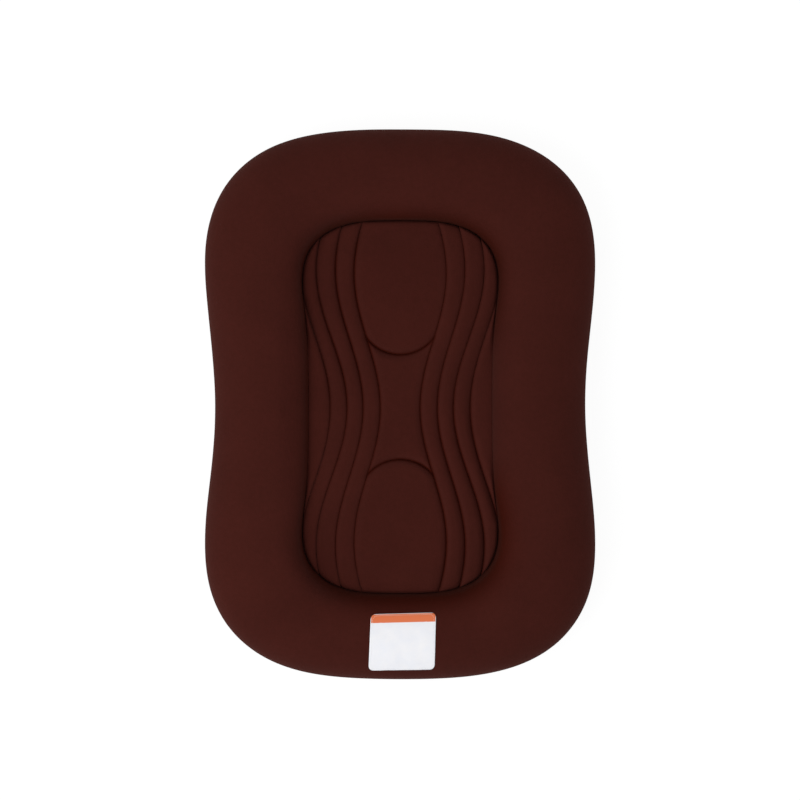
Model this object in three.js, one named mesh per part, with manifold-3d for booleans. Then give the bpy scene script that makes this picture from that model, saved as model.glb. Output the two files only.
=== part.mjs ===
// Infant lounger: a padded ring bolster in a zip-off cover, round a well with a channelled centre pad.
// Millimetres, +Z up, +X to the right and +Y towards the head end.
// The origin is on the floor, under the middle of the body.
import * as THREE from "three";
import { mergeVertices } from "three/addons/utils/BufferGeometryUtils.js";
import Module from "manifold-3d";

const wasm = await Module();
wasm.setup();

// Well outline from above: a superellipse drawn in at the waist
const WELL_LENGTH = 498;
const WELL_WAIST_WIDTH = 242;
const WELL_END_SPREAD = 33; // how far each side's line leans out by the ends, before the corners round it off
const WELL_CORNER_POWER = 3.2;

// Body outline from above: the well and the bolster round it
const SIDE_BOLSTER_WIDTH = 127; // at the waist
const HEAD_BOLSTER_WIDTH = 123.5;
const FOOT_BOLSTER_WIDTH = 115.5;
const BODY_END_SPREAD = 51;
const BODY_CORNER_POWER = 3;

// Bolster, cut across
const BOLSTER_HEIGHT = 102;
const CROWN_INSET = 50; // from the well's edge out to the highest line
const INNER_SIDE_POWER = 2.2;
const OUTER_SIDE_POWER = 2.5;
const WIDEST_HEIGHT = 40; // height of the line where the outer side bulges most
const UNDERCURVE = 30; // how far the underside tucks in from that line to the floor
const RECESS_HEIGHT = 12; // the middle of the base stands clear of the floor
const RECESS_LEDGE = 6; // flat of the recess that runs on under the bolster
const RECESS_SLOPE = 34; // plan width of the slope from the floor up to the recess

// Cloth layers
const COVER_THICKNESS = 1.5;
const LINER_THICKNESS = 1;
const LAYER_GAP = 0.3;
const PERIMETER_SEAM_ANGLE = 52; // degrees down the undercurve from the widest line

// Centre pad
const PAD_HEIGHT = 56;
const PAD_THICKNESS = 9.2;
const PAD_EDGE_THICKNESS = 3;
const PAD_SHOULDER = 7; // plan width of the round-over beside each channel
const PAD_CLEARANCE = 1; // between the pad and the well's wall
const OVAL_CROWN = 1.6; // extra rise in the middle of the two ovals
const BACKING_THICKNESS = 1;
const CHANNEL_GAP = 1.2;
const PANEL_TIP_WIDTH = 3; // where a tapering section stops
const WAIST_OFFSET_Y = -1; // from the well's middle to the channels' narrowest line
// Each channel line's distance from the middle at the waist, as a share of the well's half width there
const LINE_WAIST_SHARES = [0.22, 0.41, 0.587, 0.773];
// and where it stands widest, as a share of the well's half width with its spread
const LINE_WIDEST_SHARES = [0.4, 0.562, 0.73, 0.896];
// How far along the well it is widest, as a share of the well's half length
const LINE_REACH_SHARES = [0.723, 0.743, 0.743, 0.823];
const OVAL_ARC_RADIUS = 57;
const OVAL_TIP_DISTANCE = 70; // from the well's middle to the nearest point of each oval

// Zip, along the middle of the base, and lying in its recess
const ZIP_END_MARGIN = 19; // from the well's ends to the chain's
const ZIP_SLOT_WIDTH = 16;
const ZIP_SLOT_MARGIN = 5; // slot past each end of the chain
const TAPE_WIDTH = 17;
const TAPE_THICKNESS = 0.8;
const TAPE_TAIL = 8;
const CHAIN_SPLIT = 1; // between the two element rows
const CHAIN_ROW_WIDTH = 2.7;
const CHAIN_HEIGHT = 2.3;
const STOP_LENGTH = 3;
const STOP_GAP = 0.3;

const SLIDER_LENGTH = 12;
const SLIDER_WIDTH = 9.6;
const SLIDER_PLATE = 1;
const SLIDER_WEB = 0.4;
const SLIDER_RUNNING_GAP = 0.3;
const SLIDER_FLANGE = 1;
const BRIDGE_WIDTH = 1.8;
const BRIDGE_LENGTH = 7.2;
const BRIDGE_OPENING = 2;
const BRIDGE_BAR = 1;
const BRIDGE_LEG = 1.2;

const PULL_LENGTH = 26;
const PULL_WIDTH = 6.4;
const PULL_THICKNESS = 1.2;
const PULL_PIN_DIAMETER = 1.3;
const PULL_ARM = 1.6;
const PULL_WINDOW = 4.7; // from the pin's axis to the far side of the window round the bridge
const PULL_END_RADIUS = 2;
const PULL_HOLE_DIAMETER = 2.6;

// Blank patch sewn to the upper side at the foot end
const PATCH_WIDTH = 88;
const PATCH_WELL_MARGIN = 28; // from the well's edge out to the patch, seen from above
const PATCH_OUTER_MARGIN = 10.5; // from the patch to the body's edge
const PATCH_OFFSET_X = 4;
const PATCH_THICKNESS = 0.6;
const PATCH_LIFT = 0.5;

// Overrun of a cutting box past what it cuts, and how near two vertices count as one
const CUT = 20;
const MERGE_DISTANCE = 1e-4;

// Mesh steps
const STATIONS = 52;
const INNER_SIDE_STEPS = 4;
const OUTER_SIDE_STEPS = 5;
const UNDER_STEPS_TO_SEAM = 2;
const SLOPE_STEPS = 3;
const CHANNEL_COLUMN_SHARES = [0, 0.08, 0.28, 0.5, 0.72, 0.92, 1];
const OVAL_COLUMN_SHARES = [0, 0.03, 0.1, 0.22, 0.36, 0.5, 0.64, 0.78, 0.9, 0.97, 1];
const CHANNEL_ROW_SHARES = rowShares([0, 0.004, 0.013], 16);
const OVAL_ROW_SHARES = rowShares([0, 0.012, 0.045], 10);

// Derived sizes and levels
const BODY_LENGTH = WELL_LENGTH + HEAD_BOLSTER_WIDTH + FOOT_BOLSTER_WIDTH;
const BODY_WAIST_WIDTH = WELL_WAIST_WIDTH + 2 * SIDE_BOLSTER_WIDTH;
const WELL_OFFSET_Y = (FOOT_BOLSTER_WIDTH - HEAD_BOLSTER_WIDTH) / 2;
const ZIP_LENGTH = WELL_LENGTH - 2 * ZIP_END_MARGIN;
const WELL_SEAM_HEIGHT = PAD_HEIGHT - PAD_THICKNESS;
const BASE_INSIDE = RECESS_HEIGHT + COVER_THICKNESS;
const TAPE_BOTTOM = BASE_INSIDE + LAYER_GAP;
const TAPE_TOP = TAPE_BOTTOM + TAPE_THICKNESS;
const INNER_PLATE_BOTTOM = TAPE_TOP + SLIDER_RUNNING_GAP;
const INNER_PLATE_TOP = INNER_PLATE_BOTTOM + SLIDER_PLATE;
const LINER_UNDERSIDE = INNER_PLATE_TOP + LAYER_GAP;
const LINER_RECESS = LINER_UNDERSIDE - COVER_THICKNESS - LAYER_GAP;
const SLAB_BOTTOM = LINER_UNDERSIDE + LINER_THICKNESS + LAYER_GAP;
const BACKING_TOP = WELL_SEAM_HEIGHT - LAYER_GAP;
const BACKING_BOTTOM = BACKING_TOP - BACKING_THICKNESS;
const SLAB_TOP = BACKING_BOTTOM - LAYER_GAP;
const CHAIN_TOP = TAPE_BOTTOM - LAYER_GAP;
const CHAIN_BOTTOM = CHAIN_TOP - CHAIN_HEIGHT;
const OUTER_PLATE_TOP = CHAIN_BOTTOM - SLIDER_RUNNING_GAP;
const OUTER_PLATE_BOTTOM = OUTER_PLATE_TOP - SLIDER_PLATE;
const PULL_AXIS_Z = OUTER_PLATE_BOTTOM - BRIDGE_OPENING / 2;

const BODY = {
  halfLength: BODY_LENGTH / 2,
  halfWaist: BODY_WAIST_WIDTH / 2,
  spread: BODY_END_SPREAD,
  power: BODY_CORNER_POWER,
  middle: 0,
};
const WELL = {
  halfLength: WELL_LENGTH / 2,
  halfWaist: WELL_WAIST_WIDTH / 2,
  spread: WELL_END_SPREAD,
  power: WELL_CORNER_POWER,
  middle: WELL_OFFSET_Y,
};
const PAD = {
  ...WELL,
  halfLength: WELL.halfLength - PAD_CLEARANCE,
  halfWaist: WELL.halfWaist - PAD_CLEARANCE,
};

const lerp = THREE.MathUtils.lerp;

// Shares from 0 to 1: the given ones at each end, and even steps between them
function rowShares(ends, steps) {
  const first = ends[ends.length - 1];
  const between = [];
  for (let i = 1; i < steps; i++) between.push(first + ((1 - 2 * first) * i) / steps);
  return [...ends, ...between, ...ends.map((share) => 1 - share).reverse()];
}

// Materials, by what each piece is made of
function cloth(color, roughness) {
  return new THREE.MeshStandardMaterial({ color, roughness, metalness: 0 });
}
const coverKnit = cloth(0x3e1b16, 0.95);
const baseTwill = cloth(0x33170f, 0.95);
const linerCotton = cloth(0xe6dfd2, 0.95);
const fibreFill = cloth(0xf2f0ea, 1);
const foam = cloth(0xe9e2c8, 0.9);
const zipTape = cloth(0x2f1410, 0.9);
const labelSatin = cloth(0xf4f1ee, 0.6);
const zipCoil = new THREE.MeshStandardMaterial({ color: 0x2a1210, roughness: 0.45, metalness: 0 });
const zipMetal = new THREE.MeshStandardMaterial({ color: 0x3a2b28, roughness: 0.35, metalness: 1 });

const lounger = new THREE.Group();

function addMesh(name, geometry, material) {
  const mesh = new THREE.Mesh(geometry, material);
  mesh.name = name;
  lounger.add(mesh);
  return mesh;
}

// A geometry from points and triangles, turned so that its faces point out
function closedGeometry(points, triangles) {
  let volume = 0;
  for (const [a, b, c] of triangles) {
    const [p, q, r] = [points[a], points[b], points[c]];
    volume += p[0] * (q[1] * r[2] - q[2] * r[1]);
    volume += p[1] * (q[2] * r[0] - q[0] * r[2]);
    volume += p[2] * (q[0] * r[1] - q[1] * r[0]);
  }
  const facing = volume < 0 ? triangles.map(([a, b, c]) => [a, c, b]) : triangles;
  const geometry = new THREE.BufferGeometry();
  geometry.setAttribute("position", new THREE.Float32BufferAttribute(points.flat(), 3));
  geometry.setIndex(facing.flat());
  return geometry;
}

// Joins each loop of points to the next. Without end points the last loop joins the first, as in a ring.
function loopGeometry(loops, startPoint, endPoint) {
  const count = loops[0].length;
  const points = loops.flat();
  const triangles = [];
  const joins = startPoint ? loops.length - 1 : loops.length;
  for (let i = 0; i < joins; i++) {
    const here = i * count;
    const next = ((i + 1) % loops.length) * count;
    for (let j = 0; j < count; j++) {
      const k = (j + 1) % count;
      triangles.push([here + j, here + k, next + k], [here + j, next + k, next + j]);
    }
  }
  if (startPoint) {
    const last = (loops.length - 1) * count;
    points.push(startPoint, endPoint);
    for (let j = 0; j < count; j++) {
      const k = (j + 1) % count;
      triangles.push([points.length - 2, k, j], [points.length - 1, last + j, last + k]);
    }
  }
  return closedGeometry(points, triangles);
}

// The points of a closed polygon moved sideways by a distance: to the right of its direction of travel
function offsetPolygon(polygon, distance) {
  return polygon.map(([x, y], i) => {
    const [px, py] = polygon[(i + polygon.length - 1) % polygon.length];
    const [nx, ny] = polygon[(i + 1) % polygon.length];
    const before = new THREE.Vector2(y - py, px - x).normalize();
    const after = new THREE.Vector2(ny - y, x - nx).normalize();
    const mitre = distance / (1 + before.dot(after));
    return [x + (before.x + after.x) * mitre, y + (before.y + after.y) * mitre];
  });
}

// Outlines
function outlinePoint(outline, angle) {
  const along = Math.abs(Math.sin(angle)) ** (2 / outline.power);
  const across = Math.abs(Math.cos(angle)) ** (2 / outline.power);
  const half = outline.halfWaist + (outline.spread * (1 - Math.cos(Math.PI * along))) / 2;
  return [
    Math.sign(Math.cos(angle)) * half * across,
    outline.middle + Math.sign(Math.sin(angle)) * outline.halfLength * along,
  ];
}

function halfWidthAt(outline, y) {
  const share = Math.min(Math.abs(y - outline.middle) / outline.halfLength, 1);
  const half = outline.halfWaist + (outline.spread * (1 - Math.cos(Math.PI * share))) / 2;
  return half * (1 - share ** outline.power) ** (1 / outline.power);
}

const stationAngles = Array.from({ length: STATIONS }, (_, i) => (i * 2 * Math.PI) / STATIONS);
const wellPoints = stationAngles.map((angle) => outlinePoint(WELL, angle));
const bodyPoints = stationAngles.map((angle) => outlinePoint(BODY, angle));

// Bolster section: [distance out from the well's edge, height], clockwise from the foot of the inner wall
function undercurvePoint(width, degrees) {
  const angle = THREE.MathUtils.degToRad(degrees);
  return [
    width - UNDERCURVE * (1 - Math.cos(angle)),
    WIDEST_HEIGHT * (1 - Math.sin(angle)),
  ];
}

function bolsterSection(width, recess) {
  const points = [
    [0, recess],
    [0, WELL_SEAM_HEIGHT],
  ];
  for (let i = 1; i <= INNER_SIDE_STEPS; i++) {
    const angle = (i * Math.PI) / 2 / INNER_SIDE_STEPS;
    points.push([
      CROWN_INSET * (1 - Math.max(Math.cos(angle), 0) ** (2 / INNER_SIDE_POWER)),
      lerp(WELL_SEAM_HEIGHT, BOLSTER_HEIGHT, Math.sin(angle) ** (2 / INNER_SIDE_POWER)),
    ]);
  }
  for (let i = 1; i <= OUTER_SIDE_STEPS; i++) {
    const angle = (i * Math.PI) / 2 / OUTER_SIDE_STEPS;
    points.push([
      lerp(CROWN_INSET, width, Math.sin(angle) ** (2 / OUTER_SIDE_POWER)),
      lerp(WIDEST_HEIGHT, BOLSTER_HEIGHT, Math.max(Math.cos(angle), 0) ** (2 / OUTER_SIDE_POWER)),
    ]);
  }
  for (let i = 1; i <= UNDER_STEPS_TO_SEAM; i++) {
    points.push(undercurvePoint(width, (PERIMETER_SEAM_ANGLE * i) / UNDER_STEPS_TO_SEAM));
  }
  const seam = points.length - 1;
  points.push([width - UNDERCURVE, 0]);
  for (let i = 0; i <= SLOPE_STEPS; i++) {
    const share = i / SLOPE_STEPS;
    points.push([
      RECESS_LEDGE + RECESS_SLOPE * (1 - share),
      (recess * (1 - Math.cos(Math.PI * share))) / 2,
    ]);
  }
  return { points, seam };
}

// One station's section, moved in by a depth, as points of the body
function stationSection(station, recess, depth) {
  const [wx, wy] = wellPoints[station];
  const [bx, by] = bodyPoints[station];
  const width = Math.hypot(bx - wx, by - wy);
  const { points, seam } = bolsterSection(width, recess);
  const placed = offsetPolygon(points, depth).map(([out, z]) => {
    return [wx + ((bx - wx) * out) / width, wy + ((by - wy) * out) / width, z];
  });
  return { points: placed, seam };
}

// The point at a distance from one point towards another
function towards(from, to, distance) {
  const share = distance / Math.hypot(...to.map((value, axis) => value - from[axis]));
  return from.map((value, axis) => lerp(value, to[axis], share));
}

// A layer that follows the section from its foot, at point first, over the top and down to the perimeter seam
function upperLayer({ first, foot, recess, depth, thickness }) {
  const side = (station, at) => {
    const { points, seam } = stationSection(station, recess, at);
    const [x, y] = points[first];
    const last = towards(points[seam], points[seam - 1], LAYER_GAP / 2);
    return [[x, y, foot], ...points.slice(first + 1, seam), last];
  };
  return loopGeometry(
    stationAngles.map((_, station) => [
      ...side(station, depth),
      ...side(station, depth + thickness).reverse(),
    ]),
  );
}

// A layer that follows the underside from the perimeter seam in, and closes over the middle
function lowerLayer({ recess, depth, thickness }) {
  const sides = (at) =>
    stationAngles.map((_, station) => {
      const { points, seam } = stationSection(station, recess, at);
      return [towards(points[seam], points[seam + 1], LAYER_GAP / 2), ...points.slice(seam + 1)];
    });
  const rows = (side) => side[0].map((_, row) => side.map((points) => points[row]));
  return loopGeometry(
    [...rows(sides(depth)).reverse(), ...rows(sides(depth + thickness))],
    [0, WELL.middle, recess + depth],
    [0, WELL.middle, recess + depth + thickness],
  );
}

// A flat slab that fills the well's outline between two heights, drawn in by an inset
function wellSlab(inset, bottom, top) {
  const outline = offsetPolygon(wellPoints, -inset);
  return loopGeometry(
    [outline.map((point) => [...point, bottom]), outline.map((point) => [...point, top])],
    [0, WELL.middle, bottom],
    [0, WELL.middle, top],
  );
}

// Solids for booleans
function toSolid(geometry) {
  const bare = geometry.clone();
  bare.deleteAttribute("normal");
  bare.deleteAttribute("uv");
  const merged = mergeVertices(bare, MERGE_DISTANCE);
  return new wasm.Manifold(
    new wasm.Mesh({
      numProp: 3,
      vertProperties: merged.attributes.position.array,
      triVerts: new Uint32Array(merged.index.array),
    }),
  );
}

function toGeometry(solid) {
  const mesh = solid.getMesh();
  const geometry = new THREE.BufferGeometry();
  geometry.setAttribute("position", new THREE.Float32BufferAttribute(mesh.vertProperties, 3));
  geometry.setIndex(Array.from(mesh.triVerts));
  return geometry;
}

// A box between two corners
function box(low, high) {
  const size = high.map((value, axis) => value - low[axis]);
  const geometry = new THREE.BoxGeometry(...size);
  geometry.translate(...low.map((value, axis) => value + size[axis] / 2));
  return geometry;
}

function boxSolid(low, high) {
  return toSolid(box(low, high));
}

function buildCover() {
  const ringTop = upperLayer({
    first: 1,
    foot: WELL_SEAM_HEIGHT,
    recess: RECESS_HEIGHT,
    depth: 0,
    thickness: COVER_THICKNESS,
  });
  addMesh("cover_ring_top", ringTop, coverKnit);

  const base = toSolid(lowerLayer({ recess: RECESS_HEIGHT, depth: 0, thickness: COVER_THICKNESS }));
  const slotHalfLength = ZIP_LENGTH / 2 + ZIP_SLOT_MARGIN;
  const slot = boxSolid(
    [-ZIP_SLOT_WIDTH / 2, WELL.middle - slotHalfLength, RECESS_HEIGHT - CUT],
    [ZIP_SLOT_WIDTH / 2, WELL.middle + slotHalfLength, BASE_INSIDE + CUT],
  );
  const open = base.subtract(slot);
  for (const [name, side] of [["cover_base_left", -1], ["cover_base_right", 1]]) {
    const near = (side * LAYER_GAP) / 2;
    const far = side * BODY_LENGTH;
    const half = boxSolid(
      [Math.min(near, far), -BODY_LENGTH, -CUT],
      [Math.max(near, far), BODY_LENGTH, BOLSTER_HEIGHT],
    );
    addMesh(name, toGeometry(open.intersect(half)), baseTwill);
  }
}

function buildInnerBody() {
  const depth = COVER_THICKNESS + LAYER_GAP;
  const shared = { recess: LINER_RECESS, depth, thickness: LINER_THICKNESS };
  addMesh("liner_top", upperLayer({ ...shared, first: 0, foot: SLAB_BOTTOM }), linerCotton);
  addMesh("liner_base", lowerLayer(shared), linerCotton);
  const fillDepth = depth + LINER_THICKNESS + LAYER_GAP;
  const fill = stationAngles.map((_, i) => stationSection(i, LINER_RECESS, fillDepth).points);
  addMesh("bolster_fill", loopGeometry(fill), fibreFill);
  addMesh("centre_foam_slab", wellSlab(PAD_CLEARANCE, SLAB_BOTTOM, SLAB_TOP), foam);
  addMesh("quilt_backing", wellSlab(LAYER_GAP, BACKING_BOTTOM, BACKING_TOP), linerCotton);
}

// Channel lines of the centre pad: line 0 runs beside the ovals, line 3 nearest the wall
function channelLine(line, y) {
  const waist = WELL.halfWaist * LINE_WAIST_SHARES[line];
  const widest = (WELL.halfWaist + WELL.spread) * LINE_WIDEST_SHARES[line];
  const reach = WELL.halfLength * LINE_REACH_SHARES[line];
  const along = (y - WELL.middle - WAIST_OFFSET_Y) / reach;
  return lerp(waist, widest, (1 - Math.cos(Math.PI * along)) / 2);
}

// Where a function of y falls to zero, between a y at which it is positive and one at which it isn't
function fallsToZero(measure, positive, other) {
  let [inside, outside] = [positive, other];
  for (let i = 0; i < 50; i++) {
    const middle = (inside + outside) / 2;
    if (measure(middle) > 0) inside = middle;
    else outside = middle;
  }
  return inside;
}

// Height of a padded section at a distance in from its edge
function padHeight(distance, crown) {
  const edge = WELL_SEAM_HEIGHT + PAD_EDGE_THICKNESS;
  const near = Math.min(Math.max(distance / PAD_SHOULDER, 0), 1);
  return edge + (PAD_HEIGHT + crown - edge) * Math.sqrt(1 - (1 - near) ** 2);
}

// A padded section between two side lines, x = left(y) and x = right(y).
// start and end give the y at which the column at a share of the width begins and stops.
function padSection({ left, right, start, end, columns, rows, crown = 0 }) {
  const points = [];
  for (const across of columns) {
    for (const along of rows) {
      const y = lerp(start(across), end(across), along);
      const x = lerp(left(y), right(y), across);
      const side = Math.min(x - left(y), right(y) - x);
      const tip = Math.min(y - start(across), end(across) - y);
      const rise = crown * Math.sin(Math.PI * across) * Math.sin(Math.PI * along);
      points.push([x, y, padHeight(Math.min(side, tip), rise)]);
    }
  }
  const at = (column, row) => column * rows.length + row;
  const triangles = [];
  for (let c = 0; c + 1 < columns.length; c++) {
    for (let r = 0; r + 1 < rows.length; r++) {
      triangles.push([at(c, r), at(c + 1, r), at(c + 1, r + 1)]);
      triangles.push([at(c, r), at(c + 1, r + 1), at(c, r + 1)]);
    }
  }
  const lastColumn = columns.length - 1;
  const lastRow = rows.length - 1;
  const rim = [];
  for (let c = 0; c < lastColumn; c++) rim.push(at(c, 0));
  for (let r = 0; r < lastRow; r++) rim.push(at(lastColumn, r));
  for (let c = lastColumn; c > 0; c--) rim.push(at(c, lastRow));
  for (let r = lastRow; r > 0; r--) rim.push(at(0, r));
  const firstBelow = points.length;
  for (const i of rim) points.push([points[i][0], points[i][1], WELL_SEAM_HEIGHT]);
  rim.forEach((top, i) => {
    const next = (i + 1) % rim.length;
    triangles.push([top, firstBelow + i, firstBelow + next], [top, firstBelow + next, rim[next]]);
  });
  const contour = rim.map((i) => new THREE.Vector2(points[i][0], points[i][1]));
  for (const [a, b, c] of THREE.ShapeUtils.triangulateShape(contour, [])) {
    triangles.push([firstBelow + a, firstBelow + c, firstBelow + b]);
  }
  return closedGeometry(points, triangles);
}

function mirrored(geometry) {
  const copy = geometry.clone().scale(-1, 1, 1);
  const index = copy.index.array;
  for (let i = 0; i < index.length; i += 3) [index[i + 1], index[i + 2]] = [index[i + 2], index[i + 1]];
  return copy;
}

function buildPad() {
  const half = CHANNEL_GAP / 2;
  const headEnd = PAD.middle + PAD.halfLength;
  const footEnd = PAD.middle - PAD.halfLength;
  const waist = WELL.middle + WAIST_OFFSET_Y;
  const edge = (y) => halfWidthAt(PAD, y);

  // The ribs between two channel lines, and the flat panel between the last line and the wall
  const lastLine = LINE_WAIST_SHARES.length - 1;
  for (let line = 0; line <= lastLine; line++) {
    const left = (y) => channelLine(line, y) + half;
    const right = (y) => (line < lastLine ? Math.min(channelLine(line + 1, y) - half, edge(y)) : edge(y));
    const column = (across) => (y) => lerp(left(y), right(y), across);
    const toEdge = (across, limit) => fallsToZero((y) => edge(y) - column(across)(y), waist, limit);
    const toTip = (limit) => fallsToZero((y) => right(y) - left(y) - PANEL_TIP_WIDTH, waist, limit);
    const tapers = line + 1 >= lastLine;
    const geometry = padSection({
      left,
      right,
      start: (across) => (tapers ? toTip(footEnd) : toEdge(across, footEnd)),
      end: (across) => (tapers ? toTip(headEnd) : toEdge(across, headEnd)),
      columns: CHANNEL_COLUMN_SHARES,
      rows: CHANNEL_ROW_SHARES,
    });
    const name = line < lastLine ? `channel_${line + 1}` : "side_panel";
    addMesh(`right_${name}`, geometry, coverKnit);
    addMesh(`left_${name}`, mirrored(geometry), coverKnit);
  }

  // The two ovals and the panel between them
  const right = (y) => channelLine(0, y) - half;
  const left = (y) => -right(y);
  const arc = (across, toHead, inset) => {
    const radius = OVAL_ARC_RADIUS - inset;
    const centre = WELL.middle + toHead * (OVAL_TIP_DISTANCE + OVAL_ARC_RADIUS);
    let y = centre - toHead * radius;
    for (let i = 0; i < 30; i++) {
      const x = lerp(left(y), right(y), across);
      y = centre - toHead * Math.sqrt(Math.max(radius ** 2 - x ** 2, 0));
    }
    return y;
  };
  const toEdge = (across, limit) =>
    fallsToZero((y) => edge(y) - Math.abs(lerp(left(y), right(y), across)), waist, limit);
  const shared = { left, right, columns: OVAL_COLUMN_SHARES, rows: OVAL_ROW_SHARES };
  const headPad = padSection({
    ...shared,
    start: (across) => arc(across, 1, half),
    end: (across) => toEdge(across, headEnd),
    crown: OVAL_CROWN,
  });
  const seatPad = padSection({
    ...shared,
    start: (across) => toEdge(across, footEnd),
    end: (across) => arc(across, -1, half),
    crown: OVAL_CROWN,
  });
  const waistPanel = padSection({
    ...shared,
    start: (across) => arc(across, -1, -half),
    end: (across) => arc(across, 1, -half),
  });
  addMesh("head_pad", headPad, coverKnit);
  addMesh("seat_pad", seatPad, coverKnit);
  addMesh("waist_panel", waistPanel, coverKnit);
}

// A blank cloth patch that follows the bolster's upper side at the foot end
function buildPatch() {
  const middle = (3 * STATIONS) / 4;
  const [wellX, wellY] = wellPoints[middle];
  const section = (station, lift) => stationSection(station, RECESS_HEIGHT, -lift).points;
  const bare = section(middle, 0).map(([x, y]) => Math.hypot(x - wellX, y - wellY));
  // A row is a place along the section: a whole number at each of its points
  const rowAt = (distance) => {
    const after = bare.findIndex((out, i) => i > 1 && out >= distance);
    return after - (bare[after] - distance) / (bare[after] - bare[after - 1]);
  };
  const firstRow = rowAt(PATCH_WELL_MARGIN);
  const lastRow = rowAt(FOOT_BOLSTER_WIDTH - PATCH_OUTER_MARGIN);
  const onSection = (points, row) => {
    const before = points[Math.floor(row)];
    const after = points[Math.floor(row) + 1];
    return before.map((value, axis) => lerp(value, after[axis], row % 1));
  };
  const point = (x, row, lift) => {
    const here = onSection(section(middle, lift), row);
    const beside = onSection(section(middle + (x < 0 ? -1 : 1), lift), row);
    return here.map((value, axis) => lerp(value, beside[axis], x / beside[0]));
  };
  const columns = [PATCH_OFFSET_X - PATCH_WIDTH / 2, 0, PATCH_OFFSET_X + PATCH_WIDTH / 2];
  const rows = [firstRow];
  for (let row = Math.floor(firstRow) + 1; row < lastRow; row++) rows.push(row);
  rows.push(lastRow);
  const loops = rows.map((row) => [
    ...columns.map((x) => point(x, row, PATCH_LIFT)),
    ...columns.map((x) => point(x, row, PATCH_LIFT + PATCH_THICKNESS)).reverse(),
  ]);
  const cap = (row) => point(0, row, PATCH_LIFT + PATCH_THICKNESS / 2);
  addMesh("sewn_patch", loopGeometry(loops, cap(firstRow), cap(lastRow)), labelSatin);
}

// The zip: two tapes sewn over the slot, with their element rows, stops and slider under them
function buildZip() {
  const headEnd = WELL.middle + ZIP_LENGTH / 2;
  const footEnd = WELL.middle - ZIP_LENGTH / 2;
  const rowInside = CHAIN_SPLIT / 2;
  const rowOutside = rowInside + CHAIN_ROW_WIDTH;
  for (const [side, sign] of [["left", -1], ["right", 1]]) {
    const span = (a, b) => [Math.min(sign * a, sign * b), Math.max(sign * a, sign * b)];
    const strip = (name, [x0, x1], [y0, y1], [z0, z1], material) => {
      addMesh(`${name}_${side}`, box([x0, y0, z0], [x1, y1, z1]), material);
    };
    const tapeSpan = span(rowInside, rowInside + TAPE_WIDTH);
    const tapeEnds = [footEnd - TAPE_TAIL, headEnd + TAPE_TAIL];
    strip("zip_tape", tapeSpan, tapeEnds, [TAPE_BOTTOM, TAPE_TOP], zipTape);
    const rowSpan = span(rowInside, rowOutside);
    strip("zip_row", rowSpan, [footEnd, headEnd], [CHAIN_BOTTOM, CHAIN_TOP], zipCoil);
    const stopSpan = [headEnd + STOP_GAP, headEnd + STOP_GAP + STOP_LENGTH];
    strip("zip_head_stop", rowSpan, stopSpan, [CHAIN_BOTTOM, CHAIN_TOP], zipMetal);
  }
  addMesh(
    "zip_foot_stop",
    box(
      [-rowOutside, footEnd - STOP_GAP - STOP_LENGTH, CHAIN_BOTTOM],
      [rowOutside, footEnd - STOP_GAP, CHAIN_TOP],
    ),
    zipMetal,
  );
  const slider = new THREE.Group();
  slider.position.set(0, headEnd - SLIDER_LENGTH / 2, 0);
  lounger.add(slider);
  const body = new THREE.Mesh(sliderGeometry(rowOutside), zipMetal);
  body.name = "zip_slider";
  const pull = new THREE.Mesh(pullGeometry(), zipMetal);
  pull.name = "zip_pull";
  slider.add(body, pull);
}

// Two plates joined by a thin web, with turned-up flanges and a bridge for the pull
function sliderGeometry(rowOutside) {
  const halfLength = SLIDER_LENGTH / 2;
  const halfWidth = SLIDER_WIDTH / 2;
  const rounded = (low, high) => plateSolid(halfWidth, halfLength, low, high);
  const flangeInside = Math.max(rowOutside + SLIDER_RUNNING_GAP, halfWidth - SLIDER_FLANGE);
  const flange = (sign) => {
    const [near, far] = [sign * flangeInside, sign * halfWidth];
    return boxSolid(
      [Math.min(near, far), -halfLength / 2, OUTER_PLATE_TOP - SLIDER_PLATE / 2],
      [Math.max(near, far), halfLength / 2, TAPE_BOTTOM - SLIDER_RUNNING_GAP],
    );
  };
  const web = boxSolid(
    [-SLIDER_WEB / 2, halfLength / 4, OUTER_PLATE_TOP - SLIDER_PLATE / 2],
    [SLIDER_WEB / 2, halfLength * 0.9, INNER_PLATE_BOTTOM + SLIDER_PLATE / 2],
  );
  const bridgeBottom = OUTER_PLATE_BOTTOM - BRIDGE_OPENING - BRIDGE_BAR;
  const bridge = boxSolid(
    [-BRIDGE_WIDTH / 2, -BRIDGE_LENGTH / 2, bridgeBottom],
    [BRIDGE_WIDTH / 2, BRIDGE_LENGTH / 2, OUTER_PLATE_BOTTOM + SLIDER_PLATE / 2],
  ).subtract(
    boxSolid(
      [-BRIDGE_WIDTH, -BRIDGE_LENGTH / 2 + BRIDGE_LEG, bridgeBottom + BRIDGE_BAR],
      [BRIDGE_WIDTH, BRIDGE_LENGTH / 2 - BRIDGE_LEG, OUTER_PLATE_BOTTOM],
    ),
  );
  const solid = rounded(OUTER_PLATE_BOTTOM, OUTER_PLATE_TOP)
    .add(rounded(INNER_PLATE_BOTTOM, INNER_PLATE_TOP))
    .add(flange(-1))
    .add(flange(1))
    .add(web)
    .add(bridge);
  return toGeometry(solid);
}

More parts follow.
